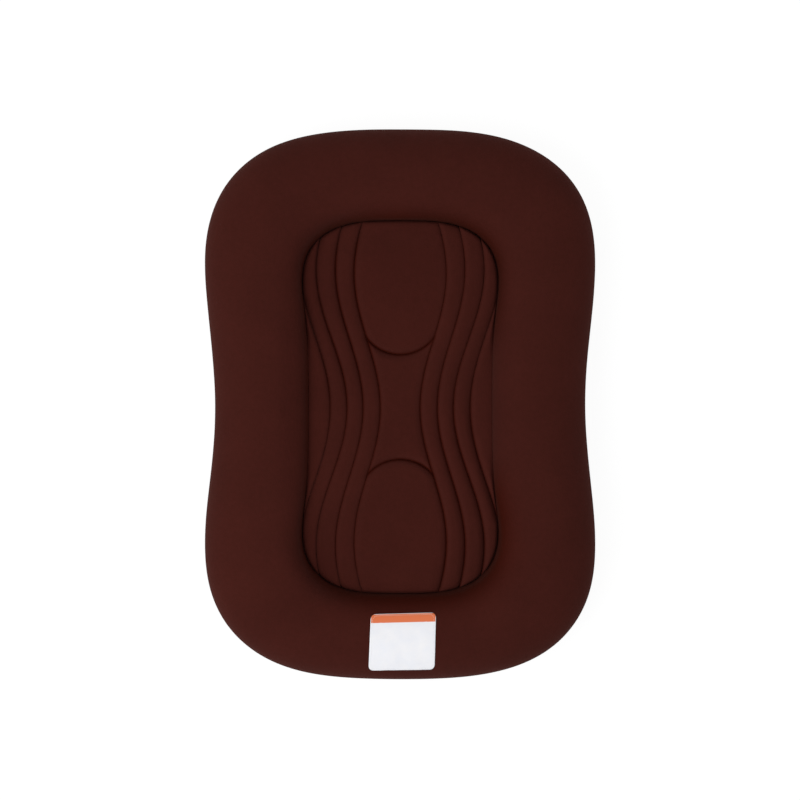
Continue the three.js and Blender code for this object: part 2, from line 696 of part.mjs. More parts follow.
// A slider plate: broad at the nose, and drawn in towards the heel
function plateSolid(halfWidth, halfLength, bottom, top) {
  const heel = halfWidth * 0.75;
  const corner = halfLength / 4;
  const shape = new THREE.Shape();
  shape.moveTo(-halfWidth + corner, halfLength);
  shape.lineTo(halfWidth - corner, halfLength);
  shape.quadraticCurveTo(halfWidth, halfLength, halfWidth, halfLength - corner);
  shape.lineTo(halfWidth, 0);
  shape.lineTo(heel, -halfLength);
  shape.lineTo(-heel, -halfLength);
  shape.lineTo(-halfWidth, 0);
  shape.lineTo(-halfWidth, halfLength - corner);
  shape.quadraticCurveTo(-halfWidth, halfLength, -halfWidth + corner, halfLength);
  const plate = new THREE.ExtrudeGeometry(shape, {
    depth: top - bottom,
    bevelEnabled: false,
    curveSegments: 3,
  });
  plate.translate(0, 0, bottom);
  return toSolid(plate);
}

// The pull lies along the closed chain, with its pin through the slider's bridge
function pullGeometry() {
  const halfWidth = PULL_WIDTH / 2;
  const tip = -PULL_LENGTH;
  const radius = Math.min(PULL_END_RADIUS, halfWidth);
  const shape = new THREE.Shape();
  shape.moveTo(-halfWidth, 0);
  shape.lineTo(-halfWidth, tip + radius);
  shape.absarc(-halfWidth + radius, tip + radius, radius, Math.PI, 1.5 * Math.PI, false);
  shape.absarc(halfWidth - radius, tip + radius, radius, 1.5 * Math.PI, 2 * Math.PI, false);
  shape.lineTo(halfWidth, 0);
  shape.closePath();
  const window = new THREE.Path();
  const windowHalf = halfWidth - PULL_ARM;
  window.moveTo(-windowHalf, -PULL_WINDOW);
  window.lineTo(-windowHalf, -PULL_PIN_DIAMETER / 4);
  window.lineTo(windowHalf, -PULL_PIN_DIAMETER / 4);
  window.lineTo(windowHalf, -PULL_WINDOW);
  window.closePath();
  const hole = new THREE.Path();
  hole.absarc(0, tip + halfWidth, PULL_HOLE_DIAMETER / 2, 0, 2 * Math.PI, true);
  shape.holes.push(window, hole);
  const plate = new THREE.ExtrudeGeometry(shape, {
    depth: PULL_THICKNESS,
    bevelEnabled: false,
    curveSegments: 5,
  });
  plate.translate(0, 0, PULL_AXIS_Z - PULL_THICKNESS / 2);
  const pin = new THREE.CylinderGeometry(
    PULL_PIN_DIAMETER / 2,
    PULL_PIN_DIAMETER / 2,
    PULL_WIDTH,
    12,
  );
  pin.rotateZ(Math.PI / 2);
  pin.translate(0, 0, PULL_AXIS_Z);
  return toGeometry(toSolid(plate).add(toSolid(pin)));
}

buildCover();
buildInnerBody();
buildPad();
buildPatch();
buildZip();

export default lounger;
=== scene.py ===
# Infant lounger: a padded ring bolster in a zip-off knit cover, round a well with a channelled centre pad.
# Sizes are written in millimetres and become metres where a vertex is placed.
import math

import bmesh
import bpy
from mathutils import Matrix, Vector, noise
from mathutils.bvhtree import BVHTree
from mathutils.kdtree import KDTree


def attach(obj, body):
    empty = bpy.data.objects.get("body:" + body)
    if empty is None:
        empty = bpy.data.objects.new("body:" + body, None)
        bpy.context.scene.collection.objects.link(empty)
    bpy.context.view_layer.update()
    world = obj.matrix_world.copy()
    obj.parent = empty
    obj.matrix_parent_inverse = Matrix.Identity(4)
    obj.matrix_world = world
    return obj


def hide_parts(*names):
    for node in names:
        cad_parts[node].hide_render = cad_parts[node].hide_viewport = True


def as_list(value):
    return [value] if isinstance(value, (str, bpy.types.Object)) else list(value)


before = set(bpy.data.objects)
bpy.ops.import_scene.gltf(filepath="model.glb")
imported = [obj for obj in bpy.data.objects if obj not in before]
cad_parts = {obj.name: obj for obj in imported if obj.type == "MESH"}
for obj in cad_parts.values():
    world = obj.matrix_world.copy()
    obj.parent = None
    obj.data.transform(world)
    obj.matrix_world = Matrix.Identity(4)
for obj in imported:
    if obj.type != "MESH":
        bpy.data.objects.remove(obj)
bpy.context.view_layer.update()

MM = 0.001
scene = bpy.context.scene

# Outlines from above: superellipses, squarer with a higher power. From the waist, at the middle, to each end
# the half width grows by the spread, along a half wave raised to the bow.
WELL = {"half_length": 249, "half_waist": 122, "spread": 38, "bow": 2, "power": 3.3, "middle": -4}
BODY = {"half_length": 368.5, "half_waist": 248.5, "spread": 49.5, "bow": 1, "power": 3.08, "middle": 0}

# Bolster, cut across
BOLSTER_HEIGHT = 102
CROWN_INSET = 44  # from the well's edge out to the crown
INNER_SIDE_POWER = 2.3  # how square the inner wall is, toward the head and the foot
WAIST_SIDE_POWER = 2.1
OUTER_SIDE_POWER = 2.5
WIDEST_HEIGHT = 40
UNDERCURVE = 30
RECESS_HEIGHT = 12
LINER_RECESS = 14.1
RECESS_LEDGE = 6
RECESS_SLOPE = 34
HOLLOW = 3  # how far the inner wall draws back from the centre pad, past the waist
HOLLOW_START = 50  # from the middle of the well
HOLLOW_FULL = 150
TOE_START = 3.5  # above the pad's seam
TOE_HEIGHT = 5
PERIMETER_SEAM_ANGLE = 52  # degrees round from the widest line
SEAM_DIP = 2.4  # how far the stitching pulls the perimeter seam in
SEAM_DIP_REACH = 5
LUMP_HEIGHT = 0.9  # the fill isn't quite even
LUMP_LENGTH = 85

# Swelling of the bolster's cover
SLACK = 1  # how much smaller the cover is before it swells
SLACK_RISE = 2.2  # how soon the slack is full, away from the seams
SWELL_LIMIT = 3
SWELL_PRESSURE = 4
SWELL_FRAMES = 16

# How much paler painted light draws the knit, or darker below zero, as painted shade
LOW_WALL_PAINTED_SHADE = -0.45  # painted shade, low on the well's wall toward the head and the foot
LOW_WALL_SHADE_CLIMBS = (40, 28)  # toward the foot, and toward the head
LEFT_WALL_PAINTED_LIGHT = 0.3  # painted light up the well's left wall, which faces away from the lamp
CREASE_PAINTED_SHADE = -0.32  # painted shade in the crease at that wall's foot
CREASE_SHADE_CLIMBS = (33, 22)  # at the waist, and past it
# The pad's level of painted light, away from its seams and its edge
PAD_PAINTED_LEVEL = -0.01
SEAM_PAINTED_HIGHLIGHT = 0.07  # painted highlight beside the pad's seams
SEAM_HIGHLIGHT_DISTANCE = 3.6  # from a seam to where that painted highlight is brightest
SEAM_HIGHLIGHT_REACH = 2
SEAM_PAINTED_SHADE = -0.24  # painted shade in a seam, and half as much in an arc
SEAM_SHADE_REACH = 1.9
EDGE_PAINTED_LIGHTS = (0.24, 0.08)  # painted light along the pad's left edge, and its right, against the shade from the wall
EDGE_LIGHT_REACH = 20
EDGE_LIGHT_BLEND = 60

# Cloth layers, from the outside in
COVER_THICKNESS = 1.5
LINER_THICKNESS = 1
LAYER_GAP = 0.3
LINER_DEPTH = COVER_THICKNESS + LAYER_GAP
FILL_DEPTH = LINER_DEPTH + LINER_THICKNESS + LAYER_GAP
INNER_SLACK = 2.2  # how much more the inner body is drawn in between its seams

# Centre pad
PAD_HEIGHT = 56
WELL_SEAM_HEIGHT = 46.8
OVAL_CROWN = 1.6
RIB_CROWN = 0.9
CROWN_RISE = 3  # how soon a section's crown is full, away from its ends
GROOVE_DEPTH = 4.4
GROOVE_REACH = 8.5
GROOVE_POWER = 1.8
LOOSE_GROOVE = 0.5  # how deep the quilting's loosest grooves are, beside its tightest
TIGHT_REACH = 55
NOTCH_DEPTH = 0.7  # deeper still, right at the stitches
NOTCH_REACH = 0.8
ARC_DEPTH = 2.4
ARC_REACH = 9
PUCKER_HEIGHT = 0.5
PUCKER_LENGTH = 9
PUCKER_REACH = 5
RIM_HEIGHT = 50
WAIST_RIM_HEIGHT = 55.6
RIM_SHOULDER = 4.5
WAIST_TUCK = 0.6  # how far the pad's edge goes in under the wall at the waist

# The pad's sewn lines, four on each side, and the arcs between the inner two
CHANNEL_GAP = 0.04
TIP_WIDTH = 0.35  # how wide the two outer sections still are at their ends
WAIST_Y = -5
LINE_WAISTS = (26.6, 49.6, 71.0, 93.5)
LINE_WIDESTS = (61.6, 86.5, 112.4, 138.0)
LINE_REACHES = (180, 185, 185, 205)  # from the waist to where each is widest
OVAL_ARC_RADIUS = 57
OVAL_TIP_DISTANCE = 70  # from the middle of the well

# Under the centre pad: foam slab, the pad's backing, and the quilted face's own knit
SLAB_BOTTOM = 17.5
SLAB_TOP = 45.2
SLAB_INSET = 2.2
SLAB_EDGE_INSET = 3.5
BACKING_TOP = 46.5
BACKING_THICKNESS = 0.9
BACKING_INSET = 0.6
UNDERLAY_TOP = WELL_SEAM_HEIGHT - 0.1
UNDERLAY_THICKNESS = 0.15
UNDERLAY_INSET = -0.4

# Zip, in the recess of the base
ZIP_HALF_LENGTH = 230
ZIP_FOOT = WELL["middle"] - ZIP_HALF_LENGTH
ZIP_HEAD = WELL["middle"] + ZIP_HALF_LENGTH
SLOT_HALF_WIDTH = 8
SLOT_HALF_LENGTH = 235
MIDDLE_GAP = 0.04  # from the middle to each half of the base, and to each tape
TAPE_WIDTH = 17
TAPE_THICKNESS = 0.6
TAPE_BOTTOM = 13.95
TAPE_TAIL = 8
TAPE_SHARES = (0, 0.03, 0.08, 0.14, 0.2, 0.35, 0.5, 0.65, 0.8, 0.93, 0.97, 1)
CORD_SHARE = 0.14  # how far across the tape its thicker cord lies
CORD_REACH = 0.05
CORD_HEIGHT = 0.125
CHAIN_TOP = 13.5
CHAIN_HEIGHT = 2.3
CHAIN_WIDTH = 3.05  # each side's, from the middle
CHAIN_MESH = 0.7  # how far each side's coil goes in between the turns of the other's
COIL_PITCH = 1.35
COIL_STARTS = {"left": 0.25, "right": 0.75}  # in pitches from the zip's foot
COIL_WIRE = 0.33  # half of what a turn is thick
METAL_MERGE = 0.005
METAL_ROUNDING = 0.18
METAL_EDGE_ANGLE = 35

# Blank patch at the foot end: its corners seen from above, and its heading band
PATCH_CORNERS = ((-42.0, -352.6), (45.4, -351.2), (47.3, -275.6), (-38.8, -277.9))
PATCH_WIDTH = math.dist(PATCH_CORNERS[0], PATCH_CORNERS[1])
PATCH_LENGTH = math.dist(PATCH_CORNERS[1], PATCH_CORNERS[2])
PATCH_CORNER_RADIUS = 6.5
PATCH_THICKNESS = 0.6
PATCH_LIFT = 0.25
ABOVE_COVER = 400  # the height from which the cover under the patch is looked for
PATCH_WAVE = 0.25
PATCH_WAVE_LENGTH = 14
PATCH_WAVE_SEED = 7
PATCH_BAND = 11.5
PATCH_BORDER = 0.7
PATCH_PRINT_EDGE = 0.2

# Stitches: pitch, length and width
BASE_STITCH = (3.4, 2.5, 0.55)
BASE_STITCH_INSETS = (2, 5.2)  # from the slot
BASE_STITCH_DEPTH = 0.05
PATCH_STITCH = (2.6, 1.9, 0.4)
PATCH_STITCH_INSET = 2.6
PATCH_STITCH_LIFT = 0.3

# Floor
FLOOR_SIZE = 20  # in metres, each way from the middle
FLOOR_DROP = 0.3

# Mesh steps
STATIONS = 280
QUARTER = STATIONS // 4
FINE_STEPS = 2000
INNER_STEPS = 12
INNER_CROWDING = 1.5  # more of them low on the wall
OUTER_STEPS = 16
UNDER_STEPS = 6
FLAT_STEPS = 5
SLOPE_STEPS = 6
MIDDLE_STEPS = 7
UNDERSIDE_STEPS = UNDER_STEPS + FLAT_STEPS + SLOPE_STEPS + MIDDLE_STEPS
LINE_POINTS = 2  # in each millimetre
ARC_POINTS = 4 * OVAL_ARC_RADIUS
WALL_POINTS = 3000
HALVINGS = 40
ARC_ROUNDS = 30
CORNER_ROW_GAP = 0.001
TAPE_STEPS = 90
PATCH_COLUMNS = 44
PATCH_ROWS = 38
PATCH_SIDE_STEPS = 60
MERGE_DISTANCE = 0.01
SLIVER_WIDTH = 0.005

# Rows of a section
FOOT_ROW = 0
WELL_ROW = 1
SEAM_ROW = WELL_ROW + INNER_STEPS + OUTER_STEPS + UNDER_STEPS
LAST_ROW = SEAM_ROW + UNDER_STEPS + FLAT_STEPS + SLOPE_STEPS


def mix(a, b, share):
    return a + (b - a) * share


def clamped(value):
    return min(max(value, 0), 1)


def half_wave(share):
    """0 to 1, slowly at both ends."""
    return (1 - math.cos(math.pi * share)) / 2


def fading(distance, reach):
    """1 at no distance, and fading away past the reach."""
    return math.exp(-((distance / reach) ** 2))


# Camera and light

CAMERA_HEIGHT = 4.0
FRAME_WIDTH = 1.072  # what the picture is wide, at the height of the bolster's widest line
SENSOR_WIDTH = 36
SURROUND_LIGHT = 0.65

camera = bpy.data.objects.new("camera", bpy.data.cameras.new("camera"))
scene.collection.objects.link(camera)
camera.location = (-0.0003, 0.0054, WIDEST_HEIGHT * MM + CAMERA_HEIGHT)
camera.data.sensor_width = SENSOR_WIDTH
camera.data.lens = SENSOR_WIDTH * CAMERA_HEIGHT / FRAME_WIDTH
scene.camera = camera


def softbox(name, direction, distance, size, watts):
    """A round soft lamp, turned to the middle of the floor."""
    lamp = bpy.data.lights.new(name, "AREA")
    lamp.shape = "DISK"
    lamp.size = size
    lamp.energy = watts
    made = bpy.data.objects.new(name, lamp)
    scene.collection.objects.link(made)
    made.location = Vector(direction).normalized() * distance
    made.rotation_euler = (-made.location).to_track_quat("-Z", "Y").to_euler()


softbox("key", direction=(-0.6, -0.3, 0.77), distance=3.2, size=2.8, watts=58)


def linear(hex_colour):
    """An sRGB hex colour as linear RGBA."""
    channels = [int(hex_colour[i : i + 2], 16) / 255 for i in (1, 3, 5)]
    return (*[c / 12.92 if c <= 0.04045 else ((c + 0.055) / 1.055) ** 2.4 for c in channels], 1)


def node(tree, kind, inputs=(), **settings):
    """Adds a node with its settings. An input is a value, or the socket or the node that feeds it."""
    made = tree.nodes.new(kind)
    for name, value in settings.items():
        setattr(made, name, value)
    for socket, value in dict(inputs).items():
        if isinstance(value, bpy.types.Node):
            value = next(output for output in value.outputs if output.enabled)
        if isinstance(value, bpy.types.NodeSocket):
            tree.links.new(value, made.inputs[socket])
        else:
            made.inputs[socket].default_value = value
    return made


def pale_surround():
    """White all round to the eye, and an even, dimmer white as light."""
    world = bpy.data.worlds.new("studio")
    scene.world = world
    world.use_nodes = True
    tree = world.node_tree
    tree.nodes.clear()
    path = node(tree, "ShaderNodeLightPath").outputs
    seen = path["Is Camera Ray"]
    for ray in ("Is Glossy Ray", "Is Transmission Ray"):
        seen = node(tree, "ShaderNodeMath", {0: seen, 1: path[ray]}, operation="MAXIMUM")
    strength = node(tree, "ShaderNodeMapRange", {"Value": seen, "To Min": SURROUND_LIGHT, "To Max": 1.0})
    light = node(tree, "ShaderNodeBackground", {"Color": (1, 1, 1, 1), "Strength": strength})
    node(tree, "ShaderNodeOutputWorld", {"Surface": light})


pale_surround()
scene.view_settings.view_transform = "Standard"


# Meshes


def link(name, mesh):
    made = bpy.data.objects.new(name, mesh)
    scene.collection.objects.link(made)
    return made


def grid(columns, rows, place):
    """A sheet of quads. place(column, row) gives a vertex's place, its place on flat cloth, and its painted
    light and shade.
    """
    bm = bmesh.new()
    bmesh.ops.create_grid(bm, x_segments=columns, y_segments=rows, size=0.5)
    column_of = bm.verts.layers.int.new("column")
    row_of = bm.verts.layers.int.new("row")
    flat = bm.verts.layers.float_vector.new("flat")
    painted_light = bm.verts.layers.float.new("painted_light")
    for vertex in bm.verts:
        column = round((vertex.co.x + 0.5) * columns)
        row = round((vertex.co.y + 0.5) * rows)
        vertex[column_of], vertex[row_of] = column, row
        point, pattern, *painted = place(column, row)
        vertex.co = Vector(point) * MM
        vertex[flat] = Vector((*pattern[:2], 0)) * MM
        # Painted light above zero and painted shade below zero, kept on each vertex for the knit's colour
        vertex[painted_light] = painted[0] if painted else 0
    return bm


def close_up(bm):
    """Merges the doubles of a surface that meets itself, and turns its faces out."""
    bmesh.ops.remove_doubles(bm, verts=bm.verts, dist=MERGE_DISTANCE * MM)
    bmesh.ops.dissolve_degenerate(bm, edges=bm.edges, dist=SLIVER_WIDTH * MM)
    bmesh.ops.recalc_face_normals(bm, faces=bm.faces)
    return bm


def facing(bm, up=True):
    """Turns a sheet's faces up, or down."""
    bm.normal_update()
    if (sum(face.normal.z * face.calc_area() for face in bm.faces) > 0) != up:
        bmesh.ops.reverse_faces(bm, faces=bm.faces)
    return bm


def piece(name, bm, material, nodes=(), thickness=0, levels=0):
    """The finished piece, riding on the body. A sheet's thickness goes inwards."""
    for face in bm.faces:
        face.smooth = True
    mesh = bpy.data.meshes.new(name)
    bm.to_mesh(mesh)
    bm.free()
    mesh.materials.append(material)
    made = link(name, mesh)
    if thickness:
        wall = made.modifiers.new("thickness", "SOLIDIFY")
        wall.thickness = thickness * MM
        wall.offset = -1
        wall.use_even_offset = False
        wall.edge_crease_outer = wall.edge_crease_rim = 1
    if levels:
        soft = made.modifiers.new("subdivision", "SUBSURF")
        soft.levels = levels
        soft.render_levels = levels
    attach(made, "body")
    if nodes:
        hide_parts(*nodes)
    return made


def sheet(name, bm, material, nodes, thickness, rests_on, levels=0):
    """A piece that is one layer of cloth. Its cut is read off the flat places, its area off its faces."""
    flat = bm.verts.layers.float_vector["flat"]
    spans = [[vertex[flat][axis] for vertex in bm.verts] for axis in (0, 1)]
    width, length = (max(span) - min(span) for span in spans)
    area = min(sum(face.calc_area() for face in bm.faces), width * length)
    made = piece(name, bm, material, nodes, thickness, levels)
    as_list(rests_on)
    return made


def inflate(bm, sewn, pressure, frames, limit):
    """Swells a closed surface by cloth simulation, held where sewn, and moves no point past the limit."""
    bm.verts.index_update()
    mesh = bpy.data.meshes.new("swelling")
    bm.to_mesh(mesh)
    swelling = link("swelling", mesh)
    group = swelling.vertex_groups.new(name="sewn")
    group.add([v.index for v in bm.verts if sewn(v)], 1, "REPLACE")
    cloth = swelling.modifiers.new("Cloth", "CLOTH")
    cloth.settings.quality = 5
    cloth.settings.mass = 0.3
    cloth.settings.tension_stiffness = 15
    cloth.settings.compression_stiffness = 15
    cloth.settings.shear_stiffness = 5
    cloth.settings.bending_stiffness = 8
    cloth.settings.use_pressure = True
    cloth.settings.uniform_pressure_force = pressure
    cloth.settings.vertex_group_mass = "sewn"
    cloth.settings.effector_weights.gravity = 0
    cloth.collision_settings.use_collision = False
    cloth.point_cache.frame_start = 1
    cloth.point_cache.frame_end = frames
    for step in range(1, frames + 1):
        scene.frame_set(step)
    swollen = swelling.evaluated_get(bpy.context.evaluated_depsgraph_get()).to_mesh()
    moves = [end.co - vertex.co for end, vertex in zip(swollen.vertices, bm.verts)]
    bpy.data.objects.remove(swelling)
    scene.frame_set(1)
    for vertex, move in zip(bm.verts, moves):
        length = move.length / MM
        if length:
            vertex.co += move * (limit * math.tanh(length / limit) / length)


# Outlines


def outline_half(outline, share):
    return outline["half_waist"] + outline["spread"] * half_wave(share) ** outline["bow"]


def outline_point(outline, angle):
    along = abs(math.sin(angle)) ** (2 / outline["power"])
    across = abs(math.cos(angle)) ** (2 / outline["power"])
    x = math.copysign(outline_half(outline, along) * across, math.cos(angle))
    return x, outline["middle"] + math.copysign(outline["half_length"] * along, math.sin(angle))


def half_width_at(outline, y):
    share = min(abs(y - outline["middle"]) / outline["half_length"], 1)
    return outline_half(outline, share) * (1 - share ** outline["power"]) ** (1 / outline["power"])


def lengths_run(points):
    """How long a line has become at each of its points."""
    run = [0.0]
    for a, b in zip(points, points[1:]):
        run.append(run[-1] + math.dist(a, b))
    return run


def found_along(run, lengths):
    """Where rising lengths fall on a line: each as a step of it, and a share of that step."""
    step = 0
    for length in lengths:
        while run[step + 1] < length:
            step += 1
        yield step, (length - run[step]) / (run[step + 1] - run[step])


def even_angles(first, count):
    """Angles over a quarter turn that cut the line midway between the two outlines into even steps."""
    angles = [first + math.pi / 2 * i / FINE_STEPS for i in range(FINE_STEPS + 1)]
    middles = []
    for angle in angles:
        well, body = outline_point(WELL, angle), outline_point(BODY, angle)
        middles.append(((well[0] + body[0]) / 2, (well[1] + body[1]) / 2))
    run = lengths_run(middles)
    found = found_along(run, [run[-1] * i / count for i in range(count)])
    return [mix(angles[step], angles[step + 1], share) for step, share in found]


ANGLES = [angle for turn in range(4) for angle in even_angles(turn * math.pi / 2, QUARTER)]
WELL_POINTS = [outline_point(WELL, angle) for angle in ANGLES]
BODY_POINTS = [outline_point(BODY, angle) for angle in ANGLES]
WIDTHS = [math.dist(well, body) for well, body in zip(WELL_POINTS, BODY_POINTS)]


def hollow_at(y):
    """0 at the waist and 1 toward the head and the foot, where a deep crease parts wall and pad."""
    share = clamped((abs(y - WELL["middle"]) - HOLLOW_START) / (HOLLOW_FULL - HOLLOW_START))
    return share * share * (3 - 2 * share)


# Bolster section: (distance out from the well's edge, height), clockwise from the foot of the inner wall


def section(width, recess, hollow):
    points = [(0, recess), (0, WELL_SEAM_HEIGHT)]
    power = mix(WAIST_SIDE_POWER, INNER_SIDE_POWER, hollow)
    for i in range(1, INNER_STEPS + 1):
        angle = (i / INNER_STEPS) ** INNER_CROWDING * math.pi / 2
        out = CROWN_INSET * (1 - max(math.cos(angle), 0) ** (2 / power))
        high = math.sin(angle) ** (2 / power)
        rise = high * (BOLSTER_HEIGHT - WELL_SEAM_HEIGHT)
        out += hollow * HOLLOW * (1 - math.exp(-max(rise - TOE_START, 0) / TOE_HEIGHT)) * (1 - high) ** 2
        points.append((out, WELL_SEAM_HEIGHT + rise))
    for i in range(1, OUTER_STEPS + 1):
        angle = i * math.pi / 2 / OUTER_STEPS
        out = mix(CROWN_INSET, width, math.sin(angle) ** (2 / OUTER_SIDE_POWER))
        high = max(math.cos(angle), 0) ** (2 / OUTER_SIDE_POWER)
        points.append((out, mix(WIDEST_HEIGHT, BOLSTER_HEIGHT, high)))
    seam_angle = math.radians(PERIMETER_SEAM_ANGLE)
    turns = [seam_angle * i / UNDER_STEPS for i in range(1, UNDER_STEPS + 1)]
    turns += [mix(seam_angle, math.pi / 2, i / UNDER_STEPS) for i in range(1, UNDER_STEPS + 1)]
    for angle in turns:
        points.append((width - UNDERCURVE * (1 - math.cos(angle)), WIDEST_HEIGHT * (1 - math.sin(angle))))
    slope_end = RECESS_LEDGE + RECESS_SLOPE
    for i in range(1, FLAT_STEPS + 1):
        points.append((mix(width - UNDERCURVE, slope_end, i / FLAT_STEPS), 0))
    for i in range(1, SLOPE_STEPS + 1):
        share = i / SLOPE_STEPS
        points.append((slope_end - RECESS_SLOPE * share, recess * half_wave(share)))
    return points


def seam_dips(points):
    """How far the perimeter seam pulls each point of a section in."""
    away = [math.inf] * len(points)
    away[SEAM_ROW] = 0
    for step in (1, -1):
        row, run = SEAM_ROW, 0.0
        while 0 < row < LAST_ROW and run < 4 * SEAM_DIP_REACH:
            run += math.dist(points[row], points[row + step])
            row += step
            away[row] = run
    return [SEAM_DIP * fading(run, SEAM_DIP_REACH) for run in away]


def moved_in(points, depths):
    """A closed clockwise section with each point moved in by its own depth."""
    moved = []
    for i, (x, z) in enumerate(points):
        px, pz = points[i - 1]
        nx, nz = points[(i + 1) % len(points)]
        before = Vector((z - pz, px - x)).normalized()
        after = Vector((nz - z, x - nx)).normalized()
        mitre = depths[i] / (1 + before.dot(after))
        moved.append((x + (before.x + after.x) * mitre, z + (before.y + after.y) * mitre))
    return moved


def between_seams(row):
    """0 at the well's seam and at the perimeter seam, and 1 midway between them."""
    return math.sin(math.pi * ((row - WELL_ROW) / (SEAM_ROW - WELL_ROW)))


def sections(depth, recess, slack=0):
    """Every station's section at a depth below the cover's face. Slack draws it in between the seams."""
    made = []
    for width, well in zip(WIDTHS, WELL_POINTS):
        points = section(width, recess, hollow_at(well[1]))
        depths = [depth + dip for dip in seam_dips(points)]
        for row in range(WELL_ROW, SEAM_ROW):
            depths[row] += slack * min(1, SLACK_RISE * between_seams(row))
        made.append(moved_in(points, depths))
    return made


def on_body(station, out, z):
    """A section's point, seen round the body."""
    well, body = WELL_POINTS[station], BODY_POINTS[station]
    share = out / WIDTHS[station]
    return mix(well[0], body[0], share), mix(well[1], body[1], share), z


def wall_painted_light(station, climb):
    """Painted light and shade on the well's wall, so far up from its seam: painted shade low on the wall
    toward the head and the foot, and on the left wall painted light up it and painted shade in its crease.
    """
    x, y = WELL_POINTS[station]
    left = max((x - BODY_POINTS[station][0]) / WIDTHS[station], 0) ** 2
    up = clamped(climb / (BOLSTER_HEIGHT - WELL_SEAM_HEIGHT + CROWN_INSET / 2))
    low_wall_shade = LOW_WALL_PAINTED_SHADE * hollow_at(y) * fading(climb, LOW_WALL_SHADE_CLIMBS[y > 0])
    left_wall_light = LEFT_WALL_PAINTED_LIGHT * math.sin(math.pi * up) ** 3
    crease_shade = CREASE_PAINTED_SHADE * fading(climb, mix(*CREASE_SHADE_CLIMBS, hollow_at(y)))
    return mix(low_wall_shade, left_wall_light + crease_shade, left)


def ring(cut, first, last):
    """A surface round the body, through rows first to last of its sections. Past the last comes the first."""
    strips = [[points[row % len(points)] for row in range(first, last + 1)] for points in cut]
    runs = [lengths_run(strip) for strip in strips]

    def place(column, row):
        station = column % STATIONS
        run = runs[station]
        point = on_body(station, *strips[station][row])
        # The third value is painted light and painted shade up the well's wall.
        return point, on_body(station, run[row], 0), wall_painted_light(station, run[row] - run[WELL_ROW - first])

    return close_up(grid(STATIONS, last - first, place))


def underside(cut, station, row):
    """A point so many rows in from the perimeter seam, and its share of the way on from the slope."""
    spot = on_body(station, *cut[station][min(SEAM_ROW + row, LAST_ROW)])
    return *spot, max(SEAM_ROW + row - LAST_ROW, 0) / MIDDLE_STEPS


def disc(profile):
    """A body in the well's outline. Its profile, bottom to top, is (share of the outline, inset, height)."""

    def place(column, row):
        share, inset, z = profile[row]
        x, y = WELL_POINTS[column % STATIONS]
        length = math.hypot(x, y - WELL["middle"])
        scale = share * (1 - inset / length)
        point = (x * scale, WELL["middle"] + (y - WELL["middle"]) * scale, z)
        return point, point

    return close_up(grid(STATIONS, len(profile) - 1, place))


def flat_disc(inset, height):
    """One level layer in the well's outline, face up."""
    return facing(disc([(share, inset, height) for share in (0, 0.2, 0.4, 0.6, 0.8, 1)]))


# Materials

WALE = 1.3  # the real knit has a wale each 0.7 mm, drawn coarser so that it shows
COURSE = 1.0
KNIT_FUZZ = 1.1
KNIT_TUFT = 6
DYE_CLOUD = 70
PAINTED_SHADE_SATURATION = 0.6  # how much more saturated the colour is drawn where painted shade darkens it
TWILL_RIB = 1.8
TWILL_YARN = 0.8
TWILL_CLOUD = 45
WEAVE = 0.9
SLUB = 12
FIBRE_TUFT = 14
FOAM_CELL = 1.6
SATIN_THREAD = 0.7
SATIN_WAVE = 18
TAPE_RIB = 1.4
TAPE_FOLD = 3


def new_tree(name):
    material = bpy.data.materials.new(name)
    material.use_nodes = True
    material.node_tree.nodes.clear()
    return material, material.node_tree


def per_metre(length):
    """The scale of a noise, or of a count, that repeats each so many millimetres."""
    return 1 / (length * MM)


def wave_scale(length):
    """The scale of a wave texture that repeats each so many millimetres."""
    return math.pi / (10 * length * MM)


def finished(material, colour, reliefs, surface):
    """Ends a material: its colour, its reliefs, each a pattern, a depth and a strength, and its shader."""
    tree, normal = material.node_tree, {}
    for pattern, depth, strength in reliefs:
        bump = {"Height": pattern, "Distance": depth * MM, "Strength": strength, **normal}
        normal = {"Normal": node(tree, "ShaderNodeBump", bump)}
    shader = node(tree, "ShaderNodeBsdfPrincipled", {"Base Color": colour, **surface, **normal})
    node(tree, "ShaderNodeOutputMaterial", {"Surface": shader})
    return material


def two_toned(material, pattern, dark, pale, reliefs, surface):
    """Ends a material of two tones that a pattern mixes."""
    tones = {0: pattern, 6: linear(dark), 7: linear(pale)}
    colour = node(material.node_tree, "ShaderNodeMix", tones, data_type="RGBA")
    return finished(material, colour, reliefs, surface)


